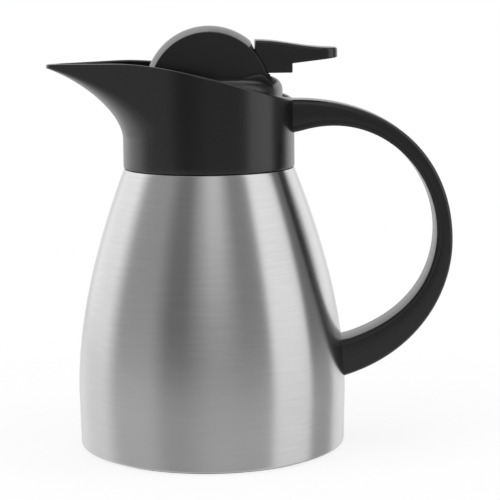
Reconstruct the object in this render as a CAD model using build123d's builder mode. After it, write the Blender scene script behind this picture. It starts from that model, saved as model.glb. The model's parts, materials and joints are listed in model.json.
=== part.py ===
from math import cos, pi, radians, sin, sqrt
import os

from build123d import *

# A one-litre vacuum carafe: a double-walled steel flask, a black pouring collar with a
# long spout, a loop handle, and a quarter-turn stopper whose thumb lever lifts a valve.
# Z is up, the origin is the centre of the base, the spout points to -X, the handle to +X.
# All sizes are in millimetres, and all angles in degrees.

# Clearances between pieces that move past each other, and of holes round what fills them
fit_gap = 0.3
pin_gap = 0.06
side_gap = 0.6

# Flask: two drawn steel walls with a vacuum between them
belly_radius = 65.2
belly_height = 27.0
foot_draw = 0.6
foot_height = 1.0
foot_round = 1.4
foot_hem = 3.0
shoulder_radius = 41.1
shoulder_height = 135.9
shoulder_lean = 0.39
step_width = 2.8
step_rise = 2.2
neck_draw = 7.3
neck_base_rise = 6.9
neck_length = 8.2
shell_wall = 0.6
liner_wall = 0.5
vacuum_gap = 4.4
neck_vacuum_gap = 1.2
liner_floor_gap = 5.8
liner_corner = 9.0
liner_seam_height = 22.0
liner_shoulder_seam = 80.0
liner_flare = 2.0

# Base
base_gap = 0.8
base_flange = 3.8
seal_pocket_radius = 9.0
seal_pocket_rise = 2.4
seal_bead_radius = 3.6
seal_bead_height = 1.0
getter_radius = 6.0
getter_height = 2.5
getter_offset = 30.0
pad_edge_round = 0.4

# Collar and spout
collar_proud = 0.2
collar_wall = 2.5
collar_seam = 0.2
collar_edge_round = 0.8
collar_floor_rise = 8.5
collar_floor_thickness = 2.4
gasket_width = 3.4
gasket_height = 1.4
spout_start_rise = 3.0
spout_height = 34.3
spout_reach = 36.0
spout_rise = 12.0
spout_lip_pull = 20.0
spout_lip_angle = 20.0
spout_floor = 2.2
spout_sections = 7
spout_shares = (0, 0.3, 0.6, 0.82, 0.94, 1)
rim_over_tip = 2.6
rim_tip_drop = 0.7
rim_level_reach = 3.7
rim_fall = 18.3
rim_fall_pull = 30.0
rim_rear_slope = 0.28
rim_rear_pull = 25.0
rim_round = 0.6

# Neck ring and its three-start, quarter-turn thread
ring_wall = 4.4
ring_rise = 13.0
ring_bore_step = 1.3
thread_starts = 3
thread_lead = 32.0
thread_depth = 1.7
thread_height = 2.0
thread_gap = 1.2
thread_side_gap = 0.4
ring_thread_span = 70.0
plug_thread_span = 50.0
thread_floor_gap = 1.2

# Stopper
plug_gap = 2.2
plug_depth = 14.0
plug_wall = 2.5
seat_thickness = 2.5
seat_hole_radius = 9.0
stopper_wall = 2.6
groove_height = 3.6
groove_depth = 1.5
groove_drop = 1.6
gasket_lip = 0.9
window_count = 5
window_step = 18.0
window_width = 7.0
window_height = 8.0
window_rise = 14.8

# Lid cover: the low round cap over the stopper
pour_gap = 3.0
cover_rise = 28.3
cover_height = 14.3
cover_edge_round = 6.5
cover_wall = 2.2
cover_mouth_width = 38.0
fairing_start = 13.0
fairing_peak = 25.5
fairing_end = 31.5
fairing_height = 1.9
fairing_width = 4.6
fairing_seam = 0.1
fairing_round = 1.2
guide_radius = 5.0
guide_drop = 5.0

# Grip dome: a half disc that turns the stopper, with the thumb lever between its cheeks
grip_radius = 31.0
grip_center_x = 0.5
grip_sink = 6.6
grip_half_width = 14.0
grip_crown = 2.7
grip_edge_round = 0.5
grip_wall = 2.2
notch_inset = 9.3
notch_slant = 2.0
boss_radius = 3.2
boss_height = 9.0
boss_front_x = -16.0
boss_rear_x = 8.0

# Thumb lever, its pin and its fork: runs from the notch's face, rises from the lid cover's top
pivot_run = 1.3
pivot_rise = 5.9
pin_radius = 1.5
pin_seat_depth = 1.2
pivot_boss_radius = 2.8
lever_front_gap = 0.4
lever_front_rise = 17.5
lever_saddle_run = 26.8
lever_saddle_rise = 14.3
lever_end_run = 39.8
lever_end_rise = 13.6
lever_end_thickness = 4.7
lever_end_round = 8.0
lever_neck_run = 18.0
lever_neck_rise = 6.4
lever_block_rise = 2.0
lever_edge_round = 1.2
arm_half_width = 5.0
arm_root_lap = 1.2
nose_radius = 1.6
nose_rise = 6.6
fork_gap = 0.6
fork_depth = 2.0

# Valve
stem_radius = 2.0
valve_disc_radius = 11.6
valve_disc_thickness = 2.0
valve_seal_radius = 12.2
valve_seal_thickness = 1.5
spigot_radius = 2.9
spigot_head = 1.0
spigot_head_height = 1.2
clip_width = 1.6
clip_thickness = 1.2
clip_gap = 0.4
stem_top_over = 1.0
spring_radius = 4.1
spring_wire = 0.8
spring_turns = 8
spring_gap = 0.15

# Handle
handle_half_width = 9.5
handle_edge_round = 1.2
handle_stand = 52.2
handle_outer_drop = 68.9
handle_inner_drop = 63.9
handle_thickness = 9.9
handle_rim_drop = 0.2
handle_root_depth = 15.9
handle_root_rise = 15.7
handle_foot_sink = 0.7
handle_foot_bottom = 33.3
handle_foot_height = 22.1
handle_foot_lean = 16.5
handle_seat_gap = 0.1
outer_pulls = (49.6, 38.0, 25.9, 37.7)
inner_pulls = (47.8, 26.8, 14.9, 39.3)
handle_wall = 2.4
handle_cover_thickness = 2.9
handle_cover_seam = 0.1
handle_root_solid = 12.0
handle_foot_solid = 16.0
bracket_reach = 11.0
bracket_half_width = 5.0
bracket_rise = 7.2
bracket_height = 10.5
bracket_foot = 3.0

# Fasteners
screw_radius = 1.6
screw_head_radius = 3.0
screw_head_height = 1.8
screw_length = 12.0
root_screw_spread = 4.8
root_screw_drop = 8.9
foot_screw_offset = 6.0
small_screw_radius = 1.1
small_screw_head = 2.3
small_screw_head_height = 1.3
small_screw_length = 8.0

# Heights and radii of the flask and its base
foot_radius = belly_radius - foot_draw
neck_radius = shoulder_radius - step_width - neck_draw
neck_base_height = shoulder_height + neck_base_rise
lip_height = neck_base_height + neck_length
base_bottom = foot_height + shell_wall
base_top = base_bottom + shell_wall
liner_inset = shell_wall + vacuum_gap
liner_bottom = base_top + liner_floor_gap
liner_neck_radius = neck_radius - shell_wall - neck_vacuum_gap

# Heights and radii of the collar and the neck ring
collar_radius = shoulder_radius + collar_proud
collar_bore = collar_radius - collar_wall
collar_bottom = shoulder_height + collar_seam
floor_bottom = collar_bottom + collar_floor_rise
floor_top = floor_bottom + collar_floor_thickness
spout_start_height = floor_top + spout_start_rise
spout_tip_height = spout_start_height + spout_height
rim_spout_height = spout_tip_height + rim_over_tip
rim_fall_start = -collar_radius - rim_level_reach
rim_rear_height = rim_spout_height - rim_fall
ring_radius = neck_radius + ring_wall
ring_bore_radius = neck_radius + ring_bore_step
ring_top = lip_height + ring_rise

# Heights and radii of the stopper, its cover and the valve
plug_radius = liner_neck_radius - liner_wall - plug_gap
plug_bottom = lip_height - plug_depth
stopper_radius = ring_bore_radius - thread_depth - thread_side_gap
window_bottom = lip_height + window_rise
cover_radius = collar_bore - pour_gap
cover_top = lip_height + cover_rise
cover_skirt_bottom = cover_top - cover_height
cover_inside_top = cover_top - cover_wall
seat_top = plug_bottom + seat_thickness
disc_bottom = seat_top + valve_seal_thickness
disc_top = disc_bottom + valve_disc_thickness
plug_thread_start = lip_height + thread_floor_gap + thread_height / 2
ring_thread_start = plug_thread_start + thread_height + thread_gap

# Places on the grip dome and the thumb lever
grip_center_height = cover_top - grip_sink
notch_x = grip_center_x + grip_radius - notch_inset
cheek_inside = grip_half_width - grip_wall
pivot_x = notch_x + pivot_run
pivot_height = cover_top + pivot_rise
lever_front_x = notch_x + lever_front_gap
lever_front_height = cover_top + lever_front_rise
lever_saddle_x = notch_x + lever_saddle_run
lever_saddle_height = cover_top + lever_saddle_rise
lever_end_x = notch_x + lever_end_run
lever_end_height = cover_top + lever_end_rise
lever_neck_x = notch_x + lever_neck_run
lever_neck_height = cover_top + lever_neck_rise
lever_block_bottom = cover_top + lever_block_rise
lever_half_width = cheek_inside - side_gap
pivot_boss_half = lever_half_width - side_gap
arm_root_x = notch_x - arm_root_lap
pin_half_length = cheek_inside + pin_seat_depth
fork_width = 2 * (stem_radius + fork_gap)
nose_height = cover_top + nose_rise
nose_top = nose_height + nose_radius

# Places on the handle, its bracket and its screws
handle_top = rim_rear_height - handle_rim_drop
handle_root_low = handle_top - handle_root_depth
handle_outer_mid = handle_top - handle_outer_drop
handle_inner_mid = handle_top - handle_inner_drop
handle_reach = belly_radius + handle_stand
handle_foot_x = belly_radius - handle_foot_sink
handle_foot_top = handle_foot_bottom + handle_foot_height
foot_inside_x = handle_foot_x - 2 * collar_wall
bracket_bottom = handle_foot_bottom + bracket_rise
bracket_top = bracket_bottom + bracket_height
bracket_end_x = handle_foot_x + bracket_reach
foot_screw_x = handle_foot_x + foot_screw_offset
foot_screw_seat = bracket_bottom - bracket_foot
root_screw_height = handle_top - root_screw_drop
root_screw_places = [(y, root_screw_height) for y in (-root_screw_spread, root_screw_spread)]

os.makedirs("parts", exist_ok=True)


def save(part, name):
    """Label a finished piece and write it under its own name."""
    part.label = name
    export_step(part, f"parts/{name}.step")


def side_plane(half_width):
    """Side view plane, set back so that a full width extrudes evenly about the middle."""
    return Plane.XZ.offset(-half_width)


def side_curve(inset):
    """Draw the flask's side from the belly to the shoulder, parallel to the outside."""
    straight_rise = (belly_radius - shoulder_radius) / shoulder_lean
    Bezier(
        (belly_radius - inset, belly_height),
        (belly_radius - inset, shoulder_height - straight_rise),
        (shoulder_radius - inset, shoulder_height - inset),
    )


def shell_blank(inset):
    """Solid under the outer steel wall, drawn in all over by an inset."""
    step_radius = shoulder_radius - step_width - inset
    step_top = shoulder_height + step_rise - inset
    with BuildPart() as blank:
        with BuildSketch(Plane.XZ):
            with BuildLine():
                side_curve(inset)
                Polyline(
                    (shoulder_radius - inset, shoulder_height - inset),
                    (step_radius, shoulder_height - inset),
                    (step_radius, step_top),
                    (neck_radius - inset, neck_base_height - inset),
                    (neck_radius - inset, lip_height),
                    (0, lip_height),
                    (0, foot_height + inset),
                    (foot_radius - inset, foot_height + inset),
                    (belly_radius - inset, belly_height),
                )
            make_face()
        revolve(axis=Axis.Z)
        fillet(blank.edges().group_by(Axis.Z)[0], foot_round - inset)
    return blank.part


def liner_blank(wall):
    """Solid under the inner bottle's outside, or under its inside if a wall is given."""
    inset = liner_inset + wall
    neck = liner_neck_radius - wall
    mouth = neck_radius - shell_wall - wall
    with BuildPart() as blank:
        with BuildSketch(Plane.XZ):
            with BuildLine():
                side_curve(inset)
                Polyline(
                    (shoulder_radius - inset, shoulder_height - inset),
                    (neck, neck_base_height - vacuum_gap - wall),
                    (neck, lip_height - 2 * liner_flare),
                    (mouth, lip_height - liner_flare),
                    (mouth, lip_height),
                    (0, lip_height),
                    (0, liner_bottom + wall),
                    (belly_radius - inset, liner_bottom + wall),
                    (belly_radius - inset, belly_height),
                )
            make_face()
        revolve(axis=Axis.Z)
        fillet(blank.edges().group_by(Axis.Z)[0], liner_corner - wall)
    return blank.part


def spout_line(step):
    """Reach beyond the collar and height of the spout's underside, from 0 to 1 along it."""
    pull_reach = spout_lip_pull * cos(radians(spout_lip_angle))
    pull_drop = spout_lip_pull * sin(radians(spout_lip_angle))
    rest = 1 - step
    reach = 3 * rest * step**2 * (spout_reach - pull_reach) + step**3 * spout_reach
    height = (
        rest**3 * spout_start_height
        + 3 * rest**2 * step * (spout_start_height + spout_rise)
        + 3 * rest * step**2 * (spout_tip_height - pull_drop)
        + step**3 * spout_tip_height
    )
    return reach, height


def spout_half(radius, reach):
    """Points in plan from the collar's tangent point to the spout's tip: a line, then an arc."""
    tip_radius = radius - reach
    start_x = -radius / 2
    start_y = radius * sqrt(3) / 2
    line_length = sqrt(3) * reach
    arc_length = tip_radius * pi / 3
    points = []
    for share in spout_shares:
        along = share * (line_length + arc_length)
        if along <= line_length:
            points.append((start_x - along * sqrt(3) / 2, start_y - along / 2))
        else:
            turn = pi / 3 - (along - line_length) / tip_radius
            points.append((-2 * reach - tip_radius * cos(turn), tip_radius * sin(turn)))
    return points


def collar_section(radius, reach, height):
    """One level section: a round back, and a spout that grows out of its front."""
    half = spout_half(radius, reach)
    other = [(x, -y) for x, y in reversed(half[:-1])]
    with BuildSketch(Plane.XY.offset(height)) as section:
        with BuildLine():
            ThreePointArc(other[-1], (radius, 0), half[0])
            Spline(*half, *other, tangents=[(-sqrt(3) / 2, -0.5), (sqrt(3) / 2, -0.5)])
        make_face()
    return section.sketch


def collar_blank(radius, bottom, lift):
    """Solid body of the collar and spout, up past the rim."""
    places = [spout_line(index / (spout_sections - 1)) for index in range(spout_sections)]
    sections = [collar_section(radius, reach, height + lift) for reach, height in places]
    with BuildPart() as blank:
        loft(sections=sections)
        lower = blank.faces().sort_by(Axis.Z)[0]
        upper = blank.faces().sort_by(Axis.Z)[-1]
        extrude(lower, amount=spout_start_height + lift - bottom)
        extrude(upper, amount=2 * (rim_spout_height - spout_tip_height))
    return blank.part


def rim_cutter():
    """Block above the collar's rim, which is level along the spout and falls to the rear."""
    tip_x = -collar_radius - spout_reach
    rim_slope = rim_tip_drop / (rim_fall_start - tip_x)
    beyond = 2 * collar_wall
    with BuildPart() as cutter:
        with BuildSketch(side_plane(2 * collar_radius)):
            with BuildLine():
                Line(
                    (tip_x - beyond, rim_spout_height - rim_tip_drop - beyond * rim_slope),
                    (rim_fall_start, rim_spout_height),
                )
                Bezier(
                    (rim_fall_start, rim_spout_height),
                    (rim_fall_start + rim_fall_pull, rim_spout_height + rim_fall_pull * rim_slope),
                    (collar_radius - rim_rear_pull, rim_rear_height + rim_rear_pull * rim_rear_slope),
                    (collar_radius, rim_rear_height),
                )
                Polyline(
                    (collar_radius, rim_rear_height),
                    (collar_radius + beyond, rim_rear_height - beyond * rim_rear_slope),
                    (collar_radius + beyond, 2 * rim_spout_height - rim_rear_height),
                    (tip_x - beyond, 2 * rim_spout_height - rim_rear_height),
                    (tip_x - beyond, rim_spout_height - rim_tip_drop - beyond * rim_slope),
                )
            make_face()
        extrude(amount=4 * collar_radius)
    return cutter.part


def rim_edges(body):
    """Edges that run along the rim, without the lines that cross it."""
    middle = (rim_rear_height + rim_spout_height) / 2
    rim = body.faces().filter_by(
        lambda face: face.center().Z > middle and face.normal_at(face.center()).Z > 0.9
    )
    return rim.edges().filter_by(lambda edge: abs(edge.center().X - rim_fall_start) > fit_gap)


def ring_of(inner, outer, bottom, top):
    """Plain ring between two radii and two heights."""
    with BuildPart() as ring:
        with BuildSketch(Plane.XY.offset(bottom)):
            Circle(outer)
            Circle(inner, mode=Mode.SUBTRACT)
        extrude(amount=top - bottom)
    return ring.part


def thread_rib(inner, outer, start_height, span):
    """One start of the quarter-turn thread: a square rib along a right-hand helix."""
    with BuildPart() as rib:
        with BuildLine() as turn:
            Helix(
                pitch=thread_lead,
                height=thread_lead * span / 360,
                radius=(inner + outer) / 2,
                center=(0, 0, start_height),
            )
        with BuildSketch(Plane(origin=turn.line @ 0, x_dir=(1, 0, 0), z_dir=turn.line % 0)):
            Rectangle(outer - inner, thread_height)
        sweep(is_frenet=True)
    return rib.part


def cover_blank(inset, rise=0):
    """Solid drum with a well-rounded top edge, drawn in by an inset or with its top raised."""
    with BuildPart() as blank:
        with BuildSketch(Plane.XY.offset(cover_skirt_bottom)):
            Circle(cover_radius - inset)
        extrude(amount=cover_top + rise - inset - cover_skirt_bottom)
        fillet(blank.edges().group_by(Axis.Z)[-1], cover_edge_round - inset)
    return blank.part


def grip_blank(inset):
    """Half disc with a crowned band, standing on the cover and drawn in by an inset."""
    half_width = grip_half_width - inset
    cheek_x = grip_center_x + grip_radius - grip_crown - inset
    with BuildPart() as blank:
        with BuildSketch(Plane.XY.offset(grip_center_height)):
            with BuildLine():
                Polyline(
                    (cheek_x, half_width),
                    (grip_center_x, half_width),
                    (grip_center_x, -half_width),
                    (cheek_x, -half_width),
                )
                ThreePointArc(
                    (cheek_x, -half_width),
                    (grip_center_x + grip_radius - inset, 0),
                    (cheek_x, half_width),
                )
            make_face()
        revolve(axis=Axis((grip_center_x, 0, grip_center_height), (0, 1, 0)))
        if inset == 0:
            fillet(blank.edges().filter_by(GeomType.CIRCLE).sort_by(SortBy.RADIUS)[-2:], grip_edge_round)
        with BuildSketch(Plane.XY.offset(cover_top)):
            Rectangle(4 * grip_radius, 4 * grip_radius)
        extrude(amount=-2 * grip_radius, mode=Mode.SUBTRACT)
    return blank.part


def fairing():
    """Low hump beside one cheek of the grip dome, which hides the lever's pivot."""
    near = grip_half_width + fairing_seam
    top = cover_top + fairing_height
    with BuildPart() as hump:
        with BuildSketch(Plane.XZ.offset(-near)):
            with BuildLine():
                Bezier(
                    (fairing_start, cover_top),
                    ((fairing_start + fairing_peak) / 2, cover_top),
                    ((fairing_start + fairing_peak) / 2, top),
                    (fairing_peak, top),
                )
                Bezier(
                    (fairing_peak, top),
                    ((fairing_peak + fairing_end) / 2, top),
                    (fairing_end, cover_top),
                    (fairing_end, cover_top - cover_wall),
                )
                Polyline(
                    (fairing_end, cover_top - cover_wall),
                    (fairing_start, cover_top - cover_wall),
                    (fairing_start, cover_top),
                )
            make_face()
        extrude(amount=-fairing_width)
        crest = hump.faces().sort_by(Axis.Y)[-1].edges().filter_by(lambda edge: edge.center().Z > cover_top)
        fillet(crest, fairing_round)
        add(cover_blank(0, fairing_height), mode=Mode.INTERSECT)
    return hump.part


def screw(origin, direction, radius, head_radius, head_height, length):
    """Screw whose head ends at the origin and whose shank runs on along the direction."""
    seat = Plane(origin=origin, z_dir=direction)
    with BuildPart() as fastener:
        with BuildSketch(seat):
            Circle(radius)
        extrude(amount=length)
        with BuildSketch(seat):
            Circle(head_radius)
        extrude(amount=-head_height)
    return fastener.part


# Outer shell: the brushed steel wall, with a hem turned in at the foot, and its welded neck
shell_outside = shell_blank(0)
shell_inside = shell_blank(shell_wall)
shell_seam_height = shoulder_height + step_rise / 2

with BuildPart() as outer_shell:
    add(shell_outside)
    add(shell_inside, mode=Mode.SUBTRACT)
    with BuildSketch(Plane.XY.offset(foot_height)):
        Circle(foot_radius - foot_hem)
    extrude(amount=shell_wall, mode=Mode.SUBTRACT)
    split(bisect_by=Plane.XY.offset(shell_seam_height), keep=Keep.BOTTOM)
save(outer_shell.part, "outer_shell")

with BuildPart() as outer_neck:
    add(shell_outside)
    add(shell_inside, mode=Mode.SUBTRACT)
    split(bisect_by=Plane.XY.offset(shell_seam_height), keep=Keep.TOP)
save(outer_neck.part, "outer_neck")

# Inner bottle: a necked shoulder, a wall and a drawn floor, welded at two seams
liner_outside = liner_blank(0)
liner_inside = liner_blank(liner_wall)

with BuildPart() as inner_liner:
    add(liner_outside)
    add(liner_inside, mode=Mode.SUBTRACT)
    split(bisect_by=Plane.XY.offset(liner_seam_height), keep=Keep.TOP)
    split(bisect_by=Plane.XY.offset(liner_shoulder_seam), keep=Keep.BOTTOM)
save(inner_liner.part, "inner_liner")

with BuildPart() as liner_shoulder:
    add(liner_outside)
    add(liner_inside, mode=Mode.SUBTRACT)
    split(bisect_by=Plane.XY.offset(liner_shoulder_seam), keep=Keep.TOP)
save(liner_shoulder.part, "liner_shoulder")

with BuildPart() as liner_floor:
    add(liner_outside)
    add(liner_inside, mode=Mode.SUBTRACT)
    split(bisect_by=Plane.XY.offset(liner_seam_height), keep=Keep.BOTTOM)
save(liner_floor.part, "liner_floor")

# Outer base: a steel disc on the hem, with a raised pocket for the vacuum seal
base_radius = foot_radius - shell_wall - base_gap

with BuildPart() as outer_base:
    with BuildSketch(Plane.XZ):
        with BuildLine():
            Polyline(
                (0, base_bottom + seal_pocket_rise),
                (seal_pocket_radius - shell_wall, base_bottom + seal_pocket_rise),
                (seal_pocket_radius - shell_wall, base_bottom),
                (base_radius, base_bottom),
                (base_radius, base_top + base_flange),
                (base_radius - shell_wall, base_top + base_flange),
                (base_radius - shell_wall, base_top),
                (seal_pocket_radius, base_top),
                (seal_pocket_radius, base_top + seal_pocket_rise),
                (0, base_top + seal_pocket_rise),
                (0, base_bottom + seal_pocket_rise),
            )
        make_face()
    revolve(axis=Axis.Z)
save(outer_base.part, "outer_base")

with BuildPart() as vacuum_seal:
    with BuildSketch(Plane.XY.offset(base_bottom + seal_pocket_rise)):
        Circle(seal_bead_radius)
    extrude(amount=-seal_bead_height)
    fillet(vacuum_seal.edges().group_by(Axis.Z)[0], seal_bead_height / 2)
save(vacuum_seal.part, "vacuum_seal")

with BuildPart() as getter:
    with BuildSketch(Plane.XY.offset(base_top)):
        with Locations((getter_offset, 0)):
            Circle(getter_radius)
    extrude(amount=getter_height)
save(getter.part, "getter")

with BuildPart() as base_pad:
    with BuildSketch():
        Circle(foot_radius - foot_hem - fit_gap)
    extrude(amount=base_bottom)
    fillet(base_pad.edges().group_by(Axis.Z)[0], pad_edge_round)
save(base_pad.part, "base_pad")

# Collar with its spout: an outside and a lifted inside of the same family of sections
collar_outside = collar_blank(collar_radius, collar_bottom, 0)
channel_inside = collar_blank(collar_bore, floor_top, spout_floor)

with BuildPart() as collar:
    add(collar_outside)
    fillet(collar.edges().group_by(Axis.Z)[0], collar_edge_round)
    add(rim_cutter(), mode=Mode.SUBTRACT)
    fillet(rim_edges(collar), rim_round)
    add(channel_inside, mode=Mode.SUBTRACT)
    with BuildSketch(Plane.XY.offset(collar_bottom)):
        Circle(collar_bore)
    extrude(amount=floor_bottom - collar_bottom, mode=Mode.SUBTRACT)
    with BuildSketch(Plane.XY.offset(floor_bottom)):
        Circle(neck_radius)
    extrude(amount=collar_floor_thickness, mode=Mode.SUBTRACT)
    with BuildSketch(Plane.YZ.offset(collar_bore - collar_wall)):
        with Locations(*root_screw_places):
            Circle(screw_radius)
    extrude(amount=3 * collar_wall, mode=Mode.SUBTRACT)
    with BuildSketch(Plane.YZ.offset(collar_bore)):
        with Locations(*root_screw_places):
            Circle(screw_head_radius)
    extrude(amount=-screw_head_height, mode=Mode.SUBTRACT)
save(collar.part, "collar")

with BuildPart() as collar_gasket:
    add(ring_of(neck_radius, neck_radius + gasket_width, floor_bottom - gasket_height, floor_bottom))
save(collar_gasket.part, "collar_gasket")

# Neck ring: grips the steel neck over the collar's floor and carries the inner thread
with BuildPart() as neck_ring:
    add(ring_of(neck_radius, ring_radius, floor_top, lip_height))
    add(ring_of(ring_bore_radius, ring_radius, lip_height, ring_top))
    ring_rib = thread_rib(
        ring_bore_radius - thread_depth, ring_bore_radius + fit_gap, ring_thread_start, ring_thread_span
    )
    with PolarLocations(0, thread_starts):
        add(ring_rib)
save(neck_ring.part, "neck_ring")

# Stopper: a cup with the valve seat in its floor, pour windows in front and the outer thread
groove_top = lip_height - groove_drop

with BuildPart() as stopper_body:
    with BuildSketch(Plane.XZ):
        with BuildLine():
            Polyline(
                (seat_hole_radius, plug_bottom),
                (plug_radius, plug_bottom),
                (plug_radius, groove_top - groove_height),
                (plug_radius - groove_depth, groove_top - groove_height),
                (plug_radius - groove_depth, groove_top),
                (plug_radius, groove_top),
                (plug_radius, lip_height + fit_gap),
                (stopper_radius, lip_height + fit_gap),
                (stopper_radius, cover_inside_top),
                (stopper_radius - stopper_wall, cover_inside_top),
                (stopper_radius - stopper_wall, lip_height + stopper_wall),
                (plug_radius - plug_wall, lip_height + stopper_wall),
                (plug_radius - plug_wall, seat_top),
                (seat_hole_radius, seat_top),
                (seat_hole_radius, plug_bottom),
            )
        make_face()
    revolve(axis=Axis.Z)
    bottom_rim = stopper_body.edges().group_by(Axis.Z)[0].sort_by(SortBy.RADIUS)[-1]
    chamfer(bottom_rim, plug_wall / 3)
    top_rim = stopper_body.edges().group_by(Axis.Z)[-1].sort_by(SortBy.RADIUS)[-1]
    chamfer(top_rim, stopper_wall / 3)
    window_sweep = window_step * (window_count - 1)
    with BuildSketch(Plane.XY.offset(window_bottom)):
        with PolarLocations(stopper_radius, window_count, 180 - window_sweep / 2, window_sweep):
            Rectangle(4 * stopper_wall, window_width)
    extrude(amount=window_height, mode=Mode.SUBTRACT)
    plug_rib = thread_rib(
        stopper_radius - fit_gap, stopper_radius + thread_depth, plug_thread_start, plug_thread_span
    )
    with PolarLocations(0, thread_starts):
        add(plug_rib)
save(stopper_body.part, "stopper_body")

# Neck gasket: a silicone ring with two lips in the stopper's groove
gasket_inner = plug_radius - groove_depth + fit_gap
gasket_outer = liner_neck_radius - liner_wall - fit_gap
gasket_low = groove_top - groove_height + fit_gap
gasket_high = groove_top - fit_gap
gasket_body = plug_radius

with BuildPart() as neck_gasket:
    with BuildSketch(Plane.XZ):
        with BuildLine():
            Polyline(
                (gasket_inner, gasket_low),
                (gasket_body, gasket_low),
                (gasket_outer, gasket_low + gasket_lip / 2),
                (gasket_outer, gasket_low + gasket_lip),
                (gasket_body, (gasket_low + gasket_high) / 2),
                (gasket_outer, gasket_high - gasket_lip),
                (gasket_outer, gasket_high - gasket_lip / 2),
                (gasket_body, gasket_high),
                (gasket_inner, gasket_high),
                (gasket_inner, gasket_low),
            )
        make_face()
    revolve(axis=Axis.Z)
save(neck_gasket.part, "neck_gasket")

# Lid cover: drum with a guide for the valve stem and a pouring mouth in its front skirt
boss_places = [(x, y * (cheek_inside - boss_radius + grip_wall / 2))
               for x in (boss_front_x, boss_rear_x) for y in (-1, 1)]
guide_bottom = cover_inside_top - guide_drop

with BuildPart() as lid_cover:
    add(cover_blank(0))
    add(cover_blank(cover_wall), mode=Mode.SUBTRACT)
    with BuildSketch(Plane.XY.offset(cover_inside_top)):
        Circle(guide_radius)
    extrude(amount=-guide_drop)
    with BuildSketch(Plane.XY.offset(guide_bottom)):
        Circle(stem_radius + fit_gap)
    extrude(amount=guide_drop + cover_wall, mode=Mode.SUBTRACT)
    with BuildSketch(Plane.XY.offset(cover_inside_top)):
        with Locations(*boss_places):
            Circle(small_screw_radius)
    extrude(amount=cover_wall, mode=Mode.SUBTRACT)
    with BuildSketch(Plane.YZ.offset(-cover_radius - cover_wall)):
        with Locations((0, cover_skirt_bottom)):
            Rectangle(cover_mouth_width, 2 * window_height)
    extrude(amount=3 * cover_wall + cover_edge_round, mode=Mode.SUBTRACT)
    near_fairing = fairing()
    add(near_fairing)
    add(mirror(near_fairing, about=Plane.XZ))
save(lid_cover.part, "lid_cover")

# Grip dome: hollow half disc, notched at the rear for the lever, with four screw bosses
with BuildPart() as grip_dome:
    add(grip_blank(0))
    add(grip_blank(grip_wall), mode=Mode.SUBTRACT)
    notch_top = grip_center_height + grip_radius
    with BuildSketch(side_plane(cheek_inside)):
        with BuildLine():
            Polyline(
                (notch_x, cover_top),
                (notch_x, lever_front_height - grip_wall * 2),
                (notch_x - notch_slant, lever_front_height),
                (notch_x - notch_slant, notch_top),
                (grip_center_x + 2 * grip_radius, notch_top),
                (grip_center_x + 2 * grip_radius, cover_top),
                (notch_x, cover_top),
            )
        make_face()
    extrude(amount=2 * cheek_inside, mode=Mode.SUBTRACT)
    with BuildSketch(Plane.XY.offset(cover_top)):
        with Locations(*boss_places):
            Circle(boss_radius)
    extrude(amount=boss_height)
    with BuildSketch(Plane.XY.offset(cover_top)):
        with Locations(*boss_places):
            Circle(small_screw_radius)
    extrude(amount=boss_height - grip_wall / 2, mode=Mode.SUBTRACT)
    with BuildSketch(side_plane(pin_half_length)):
        with Locations((pivot_x, pivot_height)):
            Circle(pin_radius)
    extrude(amount=2 * pin_half_length, mode=Mode.SUBTRACT)
save(grip_dome.part, "grip_dome")

# Four screws that hold the grip dome down from inside the lid cover
with BuildPart() as grip_screws:
    for x, y in boss_places:
        add(screw((x, y, cover_inside_top), (0, 0, 1), small_screw_radius,
                  small_screw_head, small_screw_head_height, small_screw_length))
save(grip_screws.part, "grip_screws")

# Lever pin: seated blind in both cheeks
with BuildPart() as lever_pin:
    with BuildSketch(side_plane(pin_half_length)):
        with Locations((pivot_x, pivot_height)):
            Circle(pin_radius)
    extrude(amount=2 * pin_half_length)
save(lever_pin.part, "lever_pin")

# Thumb lever: saddle-backed paddle, deep pivot block, and an inner arm with a forked nose
with BuildPart() as thumb_lever:
    with BuildSketch(side_plane(lever_half_width)):
        with BuildLine():
            Spline(
                (lever_front_x, lever_front_height),
                (lever_saddle_x, lever_saddle_height),
                (lever_end_x, lever_end_height),
                tangents=[(1, 0), (1, 0)],
            )
            Polyline(
                (lever_end_x, lever_end_height),
                (lever_end_x, lever_end_height - lever_end_thickness),
                (lever_neck_x, lever_neck_height),
                (lever_neck_x, lever_block_bottom),
                (lever_front_x, lever_block_bottom),
                (lever_front_x, lever_front_height),
            )
        make_face()
    extrude(amount=2 * lever_half_width)
    end_corners = thumb_lever.edges().filter_by(Axis.Z).group_by(Axis.X)[-1]
    fillet(end_corners, lever_end_round)
    top_face = thumb_lever.faces().sort_by(Axis.Z)[-1]
    rounded = top_face.edges().filter_by(lambda edge: edge.center().X > lever_front_x + lever_edge_round)
    fillet(rounded, lever_edge_round)
    with BuildSketch(side_plane(pivot_boss_half)):
        with Locations((pivot_x, pivot_height)):
            Circle(pivot_boss_radius)
    extrude(amount=2 * pivot_boss_half)
    with BuildSketch(side_plane(arm_half_width)):
        with Locations((0, nose_height)):
            Circle(nose_radius)
        with BuildLine():
            Polyline(
                (0, nose_height - nose_radius),
                (arm_root_x, nose_height - nose_radius),
                (arm_root_x, nose_top - fit_gap),
                (nose_radius, nose_top - fit_gap),
                (0, nose_height),
                (0, nose_height - nose_radius),
            )
        make_face()
    extrude(amount=2 * arm_half_width)
    with BuildSketch(Plane.XY.offset(nose_height - 2 * nose_radius)):
        with Locations((-nose_radius, 0)):
            Rectangle(2 * (nose_radius + stem_radius + fork_depth), fork_width)
    extrude(amount=4 * nose_radius, mode=Mode.SUBTRACT)
    with BuildSketch(side_plane(lever_half_width)):
        with Locations((pivot_x, pivot_height)):
            Circle(pin_radius + pin_gap)
    extrude(amount=2 * lever_half_width, mode=Mode.SUBTRACT)
save(thumb_lever.part, "thumb_lever")

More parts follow.
